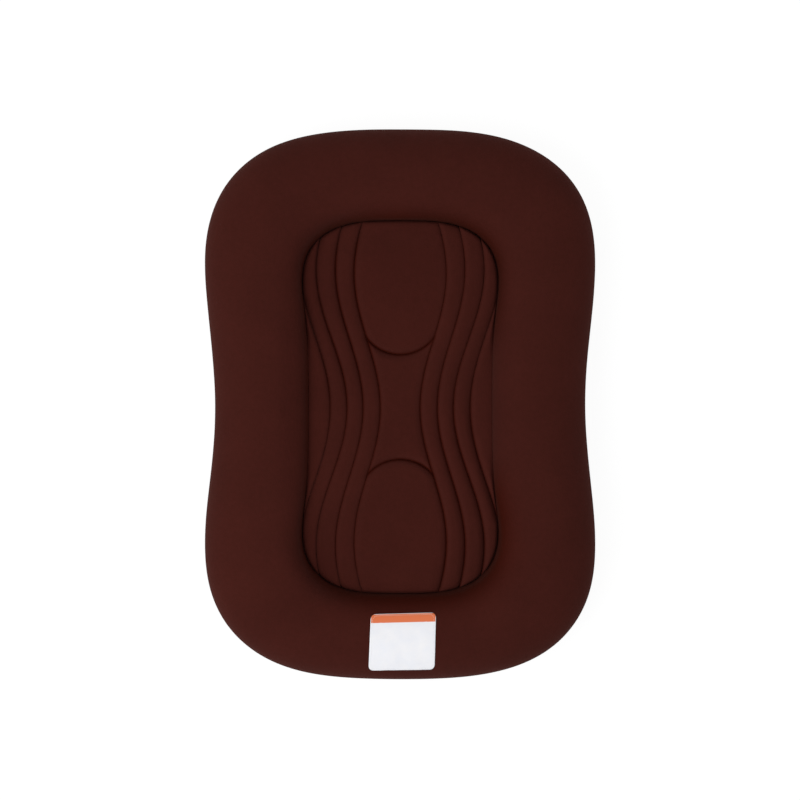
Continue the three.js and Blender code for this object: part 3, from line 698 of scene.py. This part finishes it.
def brushed_knit():
    """Piece-dyed cotton jersey, brushed: dead matt, fine wales under a short pile, paler seen edge on.
    Painted light and painted shade from the vertices lighten and darken its colour.
    """
    material, tree = new_tree("brushed cotton jersey")
    flat = node(tree, "ShaderNodeAttribute", attribute_name="flat").outputs["Vector"]
    along = node(tree, "ShaderNodeSeparateXYZ", {0: flat}).outputs
    wale = node(tree, "ShaderNodeMath", {0: along["X"], 1: per_metre(WALE)}, operation="MULTIPLY")
    lean = node(tree, "ShaderNodeMath", {0: wale, 1: 0.5}, operation="PINGPONG")
    rows = {0: along["Y"], 1: per_metre(COURSE), 2: lean}
    course = node(tree, "ShaderNodeMath", rows, operation="MULTIPLY_ADD")
    turn = node(tree, "ShaderNodeMath", {0: course, 1: 2 * math.pi}, operation="MULTIPLY")
    loops = node(tree, "ShaderNodeMath", {0: turn}, operation="SINE")
    knit = node(tree, "ShaderNodeMath", {0: loops, 1: 0.16, 2: lean}, operation="MULTIPLY_ADD")
    place = node(tree, "ShaderNodeTexCoord").outputs["Object"]
    fuzz = {"Vector": place, "Scale": per_metre(KNIT_FUZZ), "Detail": 3, "Roughness": 0.65}
    fuzz = node(tree, "ShaderNodeTexNoise", fuzz)
    tufts = {"Vector": place, "Scale": per_metre(KNIT_TUFT), "Detail": 4, "Roughness": 0.6}
    tufts = node(tree, "ShaderNodeTexNoise", tufts)
    cloud = node(tree, "ShaderNodeTexNoise", {"Vector": place, "Scale": per_metre(DYE_CLOUD), "Detail": 3})
    worn = node(tree, "ShaderNodeMapRange", {"Value": tufts, "From Min": 0.1, "From Max": 0.9})
    dyed = {0: worn, 6: linear("#3A1711"), 7: linear("#411A15")}
    dyed = node(tree, "ShaderNodeMix", dyed, data_type="RGBA")
    # Its shade: clouds of dye, dark lines between the wales, and painted light and painted shade drawn on the
    # vertices
    clouds = {"Value": cloud, "From Min": 0.3, "From Max": 0.7, "To Min": 0.94, "To Max": 1.06}
    clouds = node(tree, "ShaderNodeMapRange", clouds)
    between = {"Value": lean, "From Max": 0.2, "To Min": 0.8, "To Max": 1.0}
    between = node(tree, "ShaderNodeMapRange", between)
    painted_light = node(tree, "ShaderNodeAttribute", attribute_name="painted_light").outputs["Fac"]
    painted_factor = node(tree, "ShaderNodeMath", {0: painted_light, 1: 1}, operation="ADD")
    shade = node(tree, "ShaderNodeMath", {0: clouds, 1: between}, operation="MULTIPLY")
    shade = node(tree, "ShaderNodeMath", {0: shade, 1: painted_factor}, operation="MULTIPLY")
    # Where painted shade darkens the knit, its colour is also drawn more saturated.
    painted_darkening = node(tree, "ShaderNodeMath", {0: painted_light, 1: 0.0}, operation="MINIMUM")
    shade_saturation = node(tree, "ShaderNodeMath", {0: painted_darkening, 1: -PAINTED_SHADE_SATURATION, 2: 1}, operation="MULTIPLY_ADD")
    colour = node(tree, "ShaderNodeHueSaturation", {"Color": dyed, "Saturation": shade_saturation, "Value": shade})
    reliefs = [(knit, 0.22, 0.6), (fuzz, 0.45, 0.6), (tufts, 0.9, 0.5)]
    surface = {"Roughness": 0.95, "Specular IOR Level": 0.06}
    surface |= {"Sheen Weight": 0.05, "Sheen Roughness": 0.45, "Sheen Tint": linear("#C08A7A")}
    return finished(material, colour, reliefs, surface)


def cotton_twill():
    """Piece-dyed cotton drill: diagonal ribs, a little rubbed on their tops, dull with a faint dry shine."""
    material, tree = new_tree("cotton drill")
    place = node(tree, "ShaderNodeTexCoord").outputs["Object"]
    turned = node(tree, "ShaderNodeMapping", {"Vector": place, "Rotation": (0, 0, math.radians(58))})
    ribs = {"Vector": turned, "Scale": wave_scale(TWILL_RIB), "Distortion": 0.6, "Detail Scale": 2}
    ribs = node(tree, "ShaderNodeTexWave", {**ribs, "Detail": 2}).outputs["Fac"]
    yarn = node(tree, "ShaderNodeTexNoise", {"Vector": place, "Scale": per_metre(TWILL_YARN), "Detail": 2})
    cloud = node(tree, "ShaderNodeTexNoise", {"Vector": place, "Scale": per_metre(TWILL_CLOUD), "Detail": 4})
    tone = node(tree, "ShaderNodeMath", {0: ribs, 1: 0.6, 2: cloud}, operation="MULTIPLY_ADD")
    surface = {"Roughness": 0.92, "Specular IOR Level": 0.06, "Sheen Weight": 0.02}
    return two_toned(material, tone, "#26110C", "#3D1D16", [(ribs, 0.3, 0.7), (yarn, 0.2, 0.6)], surface)


def cotton_sheeting():
    """Unbleached plain-woven cotton: warm off-white, square weave, small slubs."""
    material, tree = new_tree("cotton sheeting")
    place = node(tree, "ShaderNodeTexCoord").outputs["Object"]
    yarns = {"Vector": place, "Scale": wave_scale(WEAVE), "Distortion": 0.4}
    warp = node(tree, "ShaderNodeTexWave", yarns, bands_direction="X").outputs["Fac"]
    weft = node(tree, "ShaderNodeTexWave", yarns, bands_direction="Y").outputs["Fac"]
    weave = node(tree, "ShaderNodeMath", {0: warp, 1: weft}, operation="MULTIPLY")
    slub = node(tree, "ShaderNodeTexNoise", {"Vector": place, "Scale": per_metre(SLUB), "Detail": 4})
    return two_toned(material, slub, "#D9D0BE", "#EFE9DD", [(weave, 0.15, 0.6)], {"Roughness": 0.9})


def polyester_fibre():
    """Carded polyester filling: bright white, in soft tufts."""
    material, tree = new_tree("carded polyester fibre")
    place = node(tree, "ShaderNodeTexCoord").outputs["Object"]
    tufts = {"Vector": place, "Scale": per_metre(FIBRE_TUFT), "Detail": 8, "Roughness": 0.7}
    tufts = node(tree, "ShaderNodeTexNoise", {**tufts, "Distortion": 1.5})
    surface = {"Roughness": 0.95, "Sheen Weight": 0.3}
    return two_toned(material, tufts, "#DAD8D2", "#FAF9F6", [(tufts, 4, 0.7)], surface)


def polyurethane_foam():
    """Cut open-cell foam: cream, finely pitted, matt."""
    material, tree = new_tree("cut polyurethane foam")
    place = node(tree, "ShaderNodeTexCoord").outputs["Object"]
    cells = node(tree, "ShaderNodeTexVoronoi", {"Vector": place, "Scale": per_metre(FOAM_CELL)})
    return two_toned(material, cells, "#D3C9A4", "#F0EAD2", [(cells, 0.6, 0.7)], {"Roughness": 0.9})


def woven_satin():
    """Polyester satin label cloth: cool white, a soft silky shine, fine lines across, a printed heading."""
    material, tree = new_tree("polyester satin")
    flat = node(tree, "ShaderNodeAttribute", attribute_name="flat").outputs["Vector"]
    along = node(tree, "ShaderNodeSeparateXYZ", {0: flat}).outputs
    threads = {"Vector": flat, "Scale": wave_scale(SATIN_THREAD), "Distortion": 0.5}
    threads = node(tree, "ShaderNodeTexWave", threads, bands_direction="Y").outputs["Fac"]
    wavy = node(tree, "ShaderNodeTexNoise", {"Vector": flat, "Scale": per_metre(SATIN_WAVE), "Detail": 3})
    whites = {0: wavy, 6: linear("#E0E3EC"), 7: linear("#F0EEEE")}
    cloth = node(tree, "ShaderNodeMix", whites, data_type="RGBA")
    inks = {0: threads, 6: linear("#D56A3C"), 7: linear("#DC7446")}
    printed = node(tree, "ShaderNodeMix", inks, data_type="RGBA")
    # The heading runs over the first centimetre of the patch, inside a narrow white border.
    inked = 1.0
    for coordinate, edge, sign in (
        ("Y", PATCH_LENGTH / 2 - PATCH_BAND, 1),
        ("Y", PATCH_LENGTH / 2 - PATCH_BORDER, -1),
        ("X", PATCH_WIDTH / 2 - PATCH_BORDER, -1),
        ("X", -PATCH_WIDTH / 2 + PATCH_BORDER, 1),
    ):
        outer, inner = ((edge + step * sign) * MM for step in (-PATCH_PRINT_EDGE, PATCH_PRINT_EDGE))
        inside = {"Value": along[coordinate], "From Min": outer, "From Max": inner}
        inside = node(tree, "ShaderNodeMapRange", inside)
        inked = node(tree, "ShaderNodeMath", {0: inked, 1: inside}, operation="MULTIPLY")
    colour = node(tree, "ShaderNodeMix", {0: inked, 6: cloth, 7: printed}, data_type="RGBA")
    surface = {"Roughness": 0.5, "Specular IOR Level": 0.4, "Sheen Weight": 0.1}
    return finished(material, colour, [(threads, 0.06, 0.5)], surface)


def woven_tape():
    """Polyester zip tape: herringbone ribs, dyed to match, drier than the cover."""
    material, tree = new_tree("woven polyester tape")
    place = node(tree, "ShaderNodeTexCoord").outputs["Object"]
    along = node(tree, "ShaderNodeSeparateXYZ", {0: place}).outputs
    fold = node(tree, "ShaderNodeMath", {0: along["X"], 1: TAPE_FOLD * MM}, operation="PINGPONG")
    across = node(tree, "ShaderNodeCombineXYZ", {"X": along["Y"], "Y": fold})
    ribs = {"Vector": across, "Scale": wave_scale(TAPE_RIB)}
    ribs = node(tree, "ShaderNodeTexWave", ribs, bands_direction="DIAGONAL").outputs["Fac"]
    surface = {"Roughness": 0.85, "Specular IOR Level": 0.1}
    return two_toned(material, ribs, "#24100C", "#3A1B15", [(ribs, 0.25, 0.8)], surface)


def solid_finish(name, dark, pale, grain, roughness, metallic=0.0, coat=0.0):
    """A hard or thread finish: two close tones in a fine grain, with a slight bump of the same grain."""
    material, tree = new_tree(name)
    place = node(tree, "ShaderNodeTexCoord").outputs["Object"]
    specks = node(tree, "ShaderNodeTexNoise", {"Vector": place, "Scale": per_metre(grain), "Detail": 4})
    rough = {"Value": specks, "To Min": roughness * 0.8, "To Max": roughness * 1.2}
    rough = node(tree, "ShaderNodeMapRange", rough)
    surface = {"Roughness": rough, "Metallic": metallic, "Coat Weight": coat}
    return two_toned(material, specks, dark, pale, [(specks, 0.08, 0.4)], surface)


KNIT = brushed_knit()
TWILL = cotton_twill()
COTTON = cotton_sheeting()
FIBRE = polyester_fibre()
FOAM = polyurethane_foam()
SATIN = woven_satin()
TAPE = woven_tape()
# Smooth drawn nylon: dark, with a soft gloss on each turn
NYLON = solid_finish("extruded nylon coil", "#241009", "#34180F", 2, 0.38)
# Cast metal under brown lacquer: a metal's dark reflections below a thin clear shine
ZINC = solid_finish("lacquered die-cast zinc", "#33221E", "#4A352F", 1.2, 0.35, metallic=1.0, coat=0.3)
# Spun threads: matt, with a fine twist
DARK_THREAD = solid_finish("twisted polyester thread", "#3A1A14", "#4E271E", 0.7, 0.7)
WHITE_THREAD = solid_finish("white polyester thread", "#DCDCE0", "#F4F4F6", 0.7, 0.65)


# Ring bolster


def make_ring_cover():
    """The cover from the well's seam over the bolster to the perimeter seam. It swells as a closed ring."""
    bm = ring(sections(0, RECESS_HEIGHT, SLACK), FOOT_ROW, LAST_ROW + 1)
    rows = bm.verts.layers.int["row"]

    def sewn(vertex):
        return vertex[rows] <= WELL_ROW or vertex[rows] >= SEAM_ROW

    inflate(bm, sewn, SWELL_PRESSURE, SWELL_FRAMES, SWELL_LIMIT)
    under = [f for f in bm.faces if any(v[rows] < WELL_ROW or v[rows] > SEAM_ROW for v in f.verts)]
    bmesh.ops.delete(bm, geom=under, context="FACES")
    bm.normal_update()
    for vertex in bm.verts:
        lump = noise.noise(vertex.co / (LUMP_LENGTH * MM))
        vertex.co += vertex.normal * lump * LUMP_HEIGHT * MM * between_seams(vertex[rows])
    cover = piece("ring_cover", bm, KNIT, ["cover_ring_top"], COVER_THICKNESS, 1)
    return cover


ring_cover = make_ring_cover()


# Centre pad


def channel_line(line, y):
    along = (y - WAIST_Y) / LINE_REACHES[line]
    return mix(LINE_WAISTS[line], LINE_WIDESTS[line], half_wave(along))


def arc_centre(toward):
    """Where the arc's centre lies along the pad: toward the head, 1, or the foot, -1."""
    return WELL["middle"] + toward * (OVAL_TIP_DISTANCE + OVAL_ARC_RADIUS)


def pad_edge(y):
    return half_width_at(WELL, y) + WAIST_TUCK * (1 - hollow_at(y))


def nearness(points):
    """A search for the nearest of some points of the plan."""
    tree = KDTree(len(points))
    for index, (x, y) in enumerate(points):
        tree.insert((x, y, 0), index)
    tree.balance()
    return tree


def line_points():
    """The channel lines seen from above, as close points."""
    points = []
    for step in range(2 * LINE_POINTS * WELL["half_length"]):
        y = WELL["middle"] - WELL["half_length"] + step / LINE_POINTS
        for line in range(4):
            x = channel_line(line, y)
            if x < pad_edge(y):
                points += [(x, y), (-x, y)]
    return points


def arc_points():
    """The arcs between the two inner lines, as close points."""
    points = []
    for toward in (1, -1):
        for step in range(ARC_POINTS):
            angle = math.pi * step / ARC_POINTS
            x = OVAL_ARC_RADIUS * math.cos(angle)
            y = arc_centre(toward) - toward * OVAL_ARC_RADIUS * math.sin(angle)
            if abs(x) < channel_line(0, y):
                points.append((x, y))
    return points


SEAMS = nearness(line_points() + arc_points())
ARCS = nearness(arc_points())
WALL = nearness([outline_point(WELL, 2 * math.pi * turn / WALL_POINTS) for turn in range(WALL_POINTS)])


def distances(x, y):
    """How far a spot of the plan is from the nearest seam, the nearest arc and the wall."""
    return [points.find((x, y, 0))[2] for points in (SEAMS, ARCS, WALL)]


def groove_tightness(x, y):
    """The quilting is drawn tighter at the head's left and the foot's right than at the other two corners."""
    return mix(1, LOOSE_GROOVE, (1 + math.tanh(x * y / TIGHT_REACH**2)) / 2)


def shoulder(distance, low, high, reach):
    """A height that rises from low to high in a quarter round."""
    near = clamped(distance / reach)
    return mix(low, high, math.sqrt(1 - (1 - near) ** 2))


def pad_height(x, y, crown):
    """The height of the pad's face. It falls away at the seams, and deeper at the wall."""
    seam, arc, wall = distances(x, y)
    pucker = noise.noise(Vector((x, y, 0)) / PUCKER_LENGTH)
    top = PAD_HEIGHT + crown + PUCKER_HEIGHT * pucker * math.exp(-seam / PUCKER_REACH)
    groove = GROOVE_DEPTH * max(1 - seam / GROOVE_REACH, 0) ** GROOVE_POWER
    top -= groove_tightness(x, y) * (groove + NOTCH_DEPTH * math.exp(-seam / NOTCH_REACH))
    top -= ARC_DEPTH * max(1 - arc / ARC_REACH, 0) ** GROOVE_POWER
    rim = mix(WAIST_RIM_HEIGHT, RIM_HEIGHT, hollow_at(y))
    return min(top, shoulder(wall, rim, top, RIM_SHOULDER))


def pad_painted_light(x, y):
    """Painted light on the pad: a painted highlight beside the seams, painted shade in them and in the arcs,
    and painted light along the edge.
    """
    seam, arc, wall = distances(x, y)
    painted_light = mix(PAD_PAINTED_LEVEL, SEAM_PAINTED_HIGHLIGHT, fading(seam - SEAM_HIGHLIGHT_DISTANCE, SEAM_HIGHLIGHT_REACH))
    painted_light += SEAM_PAINTED_SHADE * groove_tightness(x, y) * fading(seam, SEAM_SHADE_REACH)
    painted_light += SEAM_PAINTED_SHADE / 2 * fading(arc, SEAM_SHADE_REACH)
    edge_light = mix(*EDGE_PAINTED_LIGHTS, (1 + math.tanh(x / EDGE_LIGHT_BLEND)) / 2)
    return painted_light + edge_light * fading(wall, EDGE_LIGHT_REACH)


def pad_section(left, right, start, end, rows, crown, side=1):
    """A padded section, closed below, between two lines. Its columns run from start to end."""
    columns = list(start)

    def place(column, row):
        across, along = columns[column], rows[row]
        y = mix(start[across], end[across], along)
        x = side * mix(left(y), right(y), across)
        rise = crown * math.sin(math.pi * across) * min(1, math.sin(math.pi * along) * CROWN_RISE)
        # The third value is the pad's painted light and painted shade.
        return (x, y, pad_height(x, y, rise)), (x, y), pad_painted_light(x, y)

    bm = grid(len(columns) - 1, len(rows) - 1, place)
    below = bmesh.ops.extrude_face_region(bm, geom=bm.faces[:])["geom"]
    for vertex in below:
        if isinstance(vertex, bmesh.types.BMVert):
            vertex.co.z = WELL_SEAM_HEIGHT * MM
    return close_up(bm)


def even_shares(ends, steps):
    """Shares from 0 to 1: the given ones at each end, and even steps between them."""
    between = [mix(ends[-1], 1 - ends[-1], i / steps) for i in range(1, steps)]
    return [*ends, *between, *[1 - share for share in reversed(ends)]]


RIB_COLUMNS = (0, 0.012, 0.04, 0.09, 0.17, 0.27, 0.38, 0.5, 0.62, 0.73, 0.83, 0.91, 0.96, 0.988, 1)
OVAL_COLUMNS = even_shares((0, 0.003, 0.01, 0.022, 0.045), 20)
RIB_ROWS = even_shares((0, 0.0008, 0.003, 0.007, 0.013), 110)
OVAL_ROWS = even_shares((0, 0.002, 0.007, 0.016, 0.03), 42)
FOOT_END = WELL["middle"] - WELL["half_length"]
HEAD_END = WELL["middle"] + WELL["half_length"]


def falls_to_zero(measure, limit):
    """The y between the waist and a limit at which a measure falls to zero."""
    inside, outside = WAIST_Y, limit
    for _ in range(HALVINGS):
        middle = (inside + outside) / 2
        if measure(middle) > 0:
            inside = middle
        else:
            outside = middle
    return inside


def ends_at_wall(left, right, columns, limit):
    """Where the wall cuts each column of a section."""

    def end(across):
        return falls_to_zero(lambda y: pad_edge(y) - abs(mix(left(y), right(y), across)), limit)

    return {across: end(across) for across in columns}


def rib(line):
    """The section outside one of the right-hand lines."""
    half = CHANNEL_GAP / 2

    def left(y):
        return channel_line(line, y) + half

    def right(y):
        return min(channel_line(line + 1, y) - half, pad_edge(y)) if line < 3 else pad_edge(y)

    def tips(limit):
        tip = falls_to_zero(lambda y: right(y) - left(y) - TIP_WIDTH, limit)
        return dict.fromkeys(RIB_COLUMNS, tip)

    if line < 2:
        start, end = (ends_at_wall(left, right, RIB_COLUMNS, limit) for limit in (FOOT_END, HEAD_END))
    else:
        start, end = tips(FOOT_END), tips(HEAD_END)
    rows = RIB_ROWS
    if line == 2:
        # A row of points each side of where the outermost line meets the wall keeps that corner sharp.
        for limit in (FOOT_END, HEAD_END):
            meets = falls_to_zero(lambda y: pad_edge(y) - channel_line(3, y) + half, limit)
            share = (meets - start[0]) / (end[0] - start[0])
            rows = sorted([*rows, share - CORNER_ROW_GAP, share, share + CORNER_ROW_GAP])
    return left, right, start, end, rows, RIB_CROWN


def ovals():
    """The two ovals and the panel between them, by name."""
    half = CHANNEL_GAP / 2

    def right(y):
        return channel_line(0, y) - half

    def left(y):
        return -right(y)

    def arc(toward, inset):
        """Where an arc crosses each column."""
        radius = OVAL_ARC_RADIUS - inset
        found = {}
        for across in OVAL_COLUMNS:
            y = arc_centre(toward) - toward * radius
            for _ in range(ARC_ROUNDS):
                x = mix(left(y), right(y), across)
                y = arc_centre(toward) - toward * math.sqrt(max(radius**2 - x**2, 0))
            found[across] = y
        return found

    head_wall, foot_wall = (ends_at_wall(left, right, OVAL_COLUMNS, limit) for limit in (HEAD_END, FOOT_END))
    yield "head_pad", pad_section(left, right, arc(1, half), head_wall, OVAL_ROWS, OVAL_CROWN)
    yield "seat_pad", pad_section(left, right, foot_wall, arc(-1, half), OVAL_ROWS, OVAL_CROWN)
    yield "waist_panel", pad_section(left, right, arc(-1, -half), arc(1, -half), OVAL_ROWS, RIB_CROWN)


def ribs():
    for line, name in enumerate(("channel_1", "channel_2", "channel_3", "side_panel")):
        yield f"right_{name}", pad_section(*rib(line))
        yield f"left_{name}", pad_section(*rib(line), side=-1)


for name, bm in (*ribs(), *ovals()):
    quilted = piece(f"quilted_{name}", bm, KNIT, [name], levels=1)


# Inner body: what the zip lets out


def make_inner_body():
    cut = sections(FILL_DEPTH, LINER_RECESS, INNER_SLACK)
    fill = piece("fibre_ring", ring(cut, FOOT_ROW, LAST_ROW + 1), FIBRE, ["bolster_fill"])

    cut = sections(LINER_DEPTH, LINER_RECESS, INNER_SLACK)
    cut = [[(points[FOOT_ROW][0], SLAB_BOTTOM), *points[WELL_ROW:]] for points in cut]
    upper = ring(cut, FOOT_ROW, SEAM_ROW)
    sheet("liner_upper", upper, COTTON, ["liner_top"], LINER_THICKNESS, [fill])

    cut = sections(LINER_DEPTH, LINER_RECESS)

    def place(column, row):
        x, y, z, share = underside(cut, column % STATIONS, row)
        point = (x * (1 - share), mix(WELL["middle"], y, 1 - share), z)
        return point, point

    lower = close_up(grid(STATIONS, UNDERSIDE_STEPS, place))
    sheet("liner_lower", lower, COTTON, ["liner_base"], LINER_THICKNESS, [fill])

    level = [(0, 0), (0.35, 0), (0.7, 0), (1, SLAB_EDGE_INSET)]
    profile = [(share, inset, SLAB_BOTTOM) for share, inset in level]
    profile += [(1, SLAB_INSET, mix(SLAB_BOTTOM, SLAB_TOP, share)) for share in (0.05, 0.35, 0.65, 0.95)]
    profile += [(share, inset, SLAB_TOP) for share, inset in reversed(level)]
    slab = piece("foam_slab", disc(profile), FOAM, ["centre_foam_slab"])

    backing = flat_disc(BACKING_INSET, BACKING_TOP)
    backing = sheet(
        "pad_backing", backing, COTTON, ["quilt_backing"], BACKING_THICKNESS, [slab]
    )
    # The quilted face's own knit shows at the bottom of the grooves and of the crease round the pad.
    under = flat_disc(UNDERLAY_INSET, UNDERLAY_TOP)
    sheet("quilt_underlay", under, KNIT, [], UNDERLAY_THICKNESS, [backing])


# Stitches and zip elements are small beads: balls of twenty faces, drawn out


def bead(bm, centre, along, up, size):
    """A bead at a centre, drawn out to its three half sizes: along, across and up."""
    along = Vector(along).normalized()
    across = Vector(up).cross(along).normalized()
    turn = Matrix((along, across, along.cross(across))).transposed().to_4x4()
    turn = Matrix.Translation(Vector(centre) * MM) @ turn
    turn = turn @ Matrix.Diagonal((*[half * MM for half in size], 1))
    bmesh.ops.create_icosphere(bm, subdivisions=1, radius=1, matrix=turn)


def stitches(bm, path, ups, size):
    """Stitches along a path of points, each with the way up from the cloth there."""
    pitch, length, width = size
    run = lengths_run(path)
    count = int(run[-1] / pitch)
    for step, share in found_along(run, [(i + 0.5) * run[-1] / count for i in range(count)]):
        start, end = Vector(path[step]), Vector(path[step + 1])
        bead(bm, start.lerp(end, share), end - start, ups[step], (length / 2, width / 2, width / 2))


# Underside: two halves of the base, meeting at the zip's slot


def make_base_half(word, side):
    cut = sections(0, RECESS_HEIGHT)
    low = min(y for _, y in WELL_POINTS)
    high = max(y for _, y in WELL_POINTS)

    def place(column, row):
        station = (column - side * QUARTER) % STATIONS
        x, y, z, share = underside(cut, station, row)
        at_slot = mix(-SLOT_HALF_LENGTH, SLOT_HALF_LENGTH, (WELL_POINTS[station][1] - low) / (high - low))
        x = mix(abs(x), SLOT_HALF_WIDTH if abs(x) > 1 else 0, share)
        y = mix(y, at_slot + WELL["middle"], share)
        point = (side * max(x, MIDDLE_GAP), y, z)
        return point, point

    bm = facing(close_up(grid(2 * QUARTER, UNDERSIDE_STEPS, place)), up=False)
    name, nodes = f"base_half_{word}", [f"cover_base_{word}"]
    sheet(name, bm, TWILL, nodes, COVER_THICKNESS, ["liner_lower"], 1)


def make_tape(word, side):
    """A thin selvedge each side, and a thicker cord beside the elements."""

    def place(column, row):
        across = TAPE_SHARES[column]
        x = side * (MIDDLE_GAP + TAPE_WIDTH * across)
        y = mix(ZIP_FOOT - TAPE_TAIL, ZIP_HEAD + TAPE_TAIL, row / TAPE_STEPS)
        return (x, y, TAPE_BOTTOM - CORD_HEIGHT * fading(across - CORD_SHARE, CORD_REACH)), (x, y)

    bm = facing(grid(len(TAPE_SHARES) - 1, TAPE_STEPS, place), up=False)
    nodes, under = [f"zip_tape_{word}"], [f"base_half_{word}"]
    sheet(f"tape_{word}", bm, TAPE, nodes, TAPE_THICKNESS, under)


def make_coil(word, side):
    """One turn to each bead, the two sides half a pitch apart."""
    coil = bmesh.new()
    size = ((CHAIN_WIDTH + CHAIN_MESH) / 2, COIL_WIRE, CHAIN_HEIGHT / 2)
    for turn in range(int(2 * ZIP_HALF_LENGTH / COIL_PITCH)):
        y = ZIP_FOOT + COIL_PITCH * (turn + COIL_STARTS[word])
        centre = (side * (CHAIN_WIDTH - CHAIN_MESH) / 2, y, CHAIN_TOP - CHAIN_HEIGHT / 2)
        bead(coil, centre, (1, 0, 0), (0, 0, 1), size)
    piece(f"coil_{word}", coil, NYLON, [f"zip_row_{word}"])


def topstitch(seams, side):
    """Two rows of stitches beside the slot, through the base and the tape."""
    for inset in BASE_STITCH_INSETS:
        x = side * (SLOT_HALF_WIDTH + inset)
        z = RECESS_HEIGHT - BASE_STITCH_DEPTH
        path = [(x, y, z) for y in (ZIP_FOOT - TAPE_TAIL / 2, ZIP_HEAD + TAPE_TAIL / 2)]
        stitches(seams, path, [(0, 0, -1)] * 2, BASE_STITCH)


def make_zip():
    seams = bmesh.new()
    for word, side in (("left", -1), ("right", 1)):
        make_base_half(word, side)
        make_tape(word, side)
        make_coil(word, side)
        topstitch(seams, side)
    piece("slot_topstitching", seams, DARK_THREAD)

    # The slider, its pull and the stops keep their CAD shapes, with rounded edges
    for name in ("zip_slider", "zip_pull", "zip_head_stop_left", "zip_head_stop_right", "zip_foot_stop"):
        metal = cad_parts[name]
        metal.data.materials.clear()
        metal.data.materials.append(ZINC)
        whole = metal.modifiers.new("weld", "WELD")
        whole.merge_threshold = METAL_MERGE * MM
        rounded = metal.modifiers.new("rounded edges", "BEVEL")
        rounded.width = METAL_ROUNDING * MM
        rounded.segments = 2
        rounded.limit_method = "ANGLE"
        rounded.angle_limit = math.radians(METAL_EDGE_ANGLE)


make_inner_body()
make_zip()


# Blank patch, lying on the bolster


def patch_place(u, v):
    """A patch's point from above, and on its flat cloth. u and v run from -1 to 1. Its corners are round."""
    half_width, half_length = PATCH_WIDTH / 2, PATCH_LENGTH / 2
    reach = max(abs(u), abs(v))
    x, y = 0, 0
    if reach:
        x, y = u / reach * half_width, v / reach * half_length
        over_x = max(abs(x) - (half_width - PATCH_CORNER_RADIUS), 0)
        over_y = max(abs(y) - (half_length - PATCH_CORNER_RADIUS), 0)
        over = math.hypot(over_x, over_y)
        if over > PATCH_CORNER_RADIUS:
            x -= math.copysign(over_x * (1 - PATCH_CORNER_RADIUS / over), x)
            y -= math.copysign(over_y * (1 - PATCH_CORNER_RADIUS / over), y)
        x, y = x * reach, y * reach
    across, along = x / PATCH_WIDTH + 0.5, y / PATCH_LENGTH + 0.5
    foot_left, foot_right, head_right, head_left = (Vector(corner) for corner in PATCH_CORNERS)
    low = foot_left.lerp(foot_right, across)
    return low.lerp(head_left.lerp(head_right, across), along), (x, y)


def make_patch():
    bpy.context.view_layer.update()
    cover = BVHTree.FromObject(ring_cover, bpy.context.evaluated_depsgraph_get())

    def on_cover(plan, lift):
        spot, normal, _, _ = cover.ray_cast(Vector((plan.x, plan.y, ABOVE_COVER)) * MM, Vector((0, 0, -1)))
        return spot / MM + normal * lift, normal

    def place(column, row):
        plan, flat = patch_place(2 * column / PATCH_COLUMNS - 1, 2 * row / PATCH_ROWS - 1)
        wave = PATCH_WAVE * noise.noise(Vector((*flat, PATCH_WAVE_SEED)) / PATCH_WAVE_LENGTH)
        return on_cover(plan, PATCH_LIFT + PATCH_THICKNESS + wave)[0], flat

    bm = facing(grid(PATCH_COLUMNS, PATCH_ROWS, place))
    sheet("blank_patch", bm, SATIN, ["sewn_patch"], PATCH_THICKNESS, [ring_cover], 1)

    inner = 1 - 2 * PATCH_STITCH_INSET / PATCH_WIDTH
    loop = [(inner, mix(-inner, inner, i / PATCH_SIDE_STEPS)) for i in range(PATCH_SIDE_STEPS)]
    for _ in range(3):
        loop += [(-v, u) for u, v in loop[-PATCH_SIDE_STEPS:]]
    loop.append(loop[0])
    lift = PATCH_STITCH_LIFT + PATCH_THICKNESS
    points, ups = zip(*[on_cover(patch_place(u, v)[0], lift) for u, v in loop])
    seam = bmesh.new()
    stitches(seam, points, ups, PATCH_STITCH)
    piece("patch_stitching", seam, WHITE_THREAD)


make_patch()


# Floor


def make_floor():
    """Matt white paper. The eye sees it mostly lit evenly, so the shadow on it stays faint."""
    bm = bmesh.new()
    bmesh.ops.create_grid(bm, x_segments=1, y_segments=1, size=FLOOR_SIZE)
    bmesh.ops.translate(bm, verts=bm.verts, vec=(0, 0, -FLOOR_DROP * MM))
    mesh = bpy.data.meshes.new("floor")
    bm.to_mesh(mesh)
    bm.free()
    material, tree = new_tree("matt white paper")
    path = node(tree, "ShaderNodeLightPath").outputs
    paper = node(tree, "ShaderNodeBsdfDiffuse", {"Color": (0.85, 0.85, 0.85, 1)})
    glow = node(tree, "ShaderNodeEmission", {"Color": (1, 1, 1, 1), "Strength": 1.08})
    share = node(tree, "ShaderNodeMath", {0: path["Is Camera Ray"], 1: 0.85}, operation="MULTIPLY")
    mixed = node(tree, "ShaderNodeMixShader", {0: share, 1: paper, 2: glow})
    node(tree, "ShaderNodeOutputMaterial", {"Surface": mixed})
    mesh.materials.append(material)
    link("floor", mesh)


make_floor()
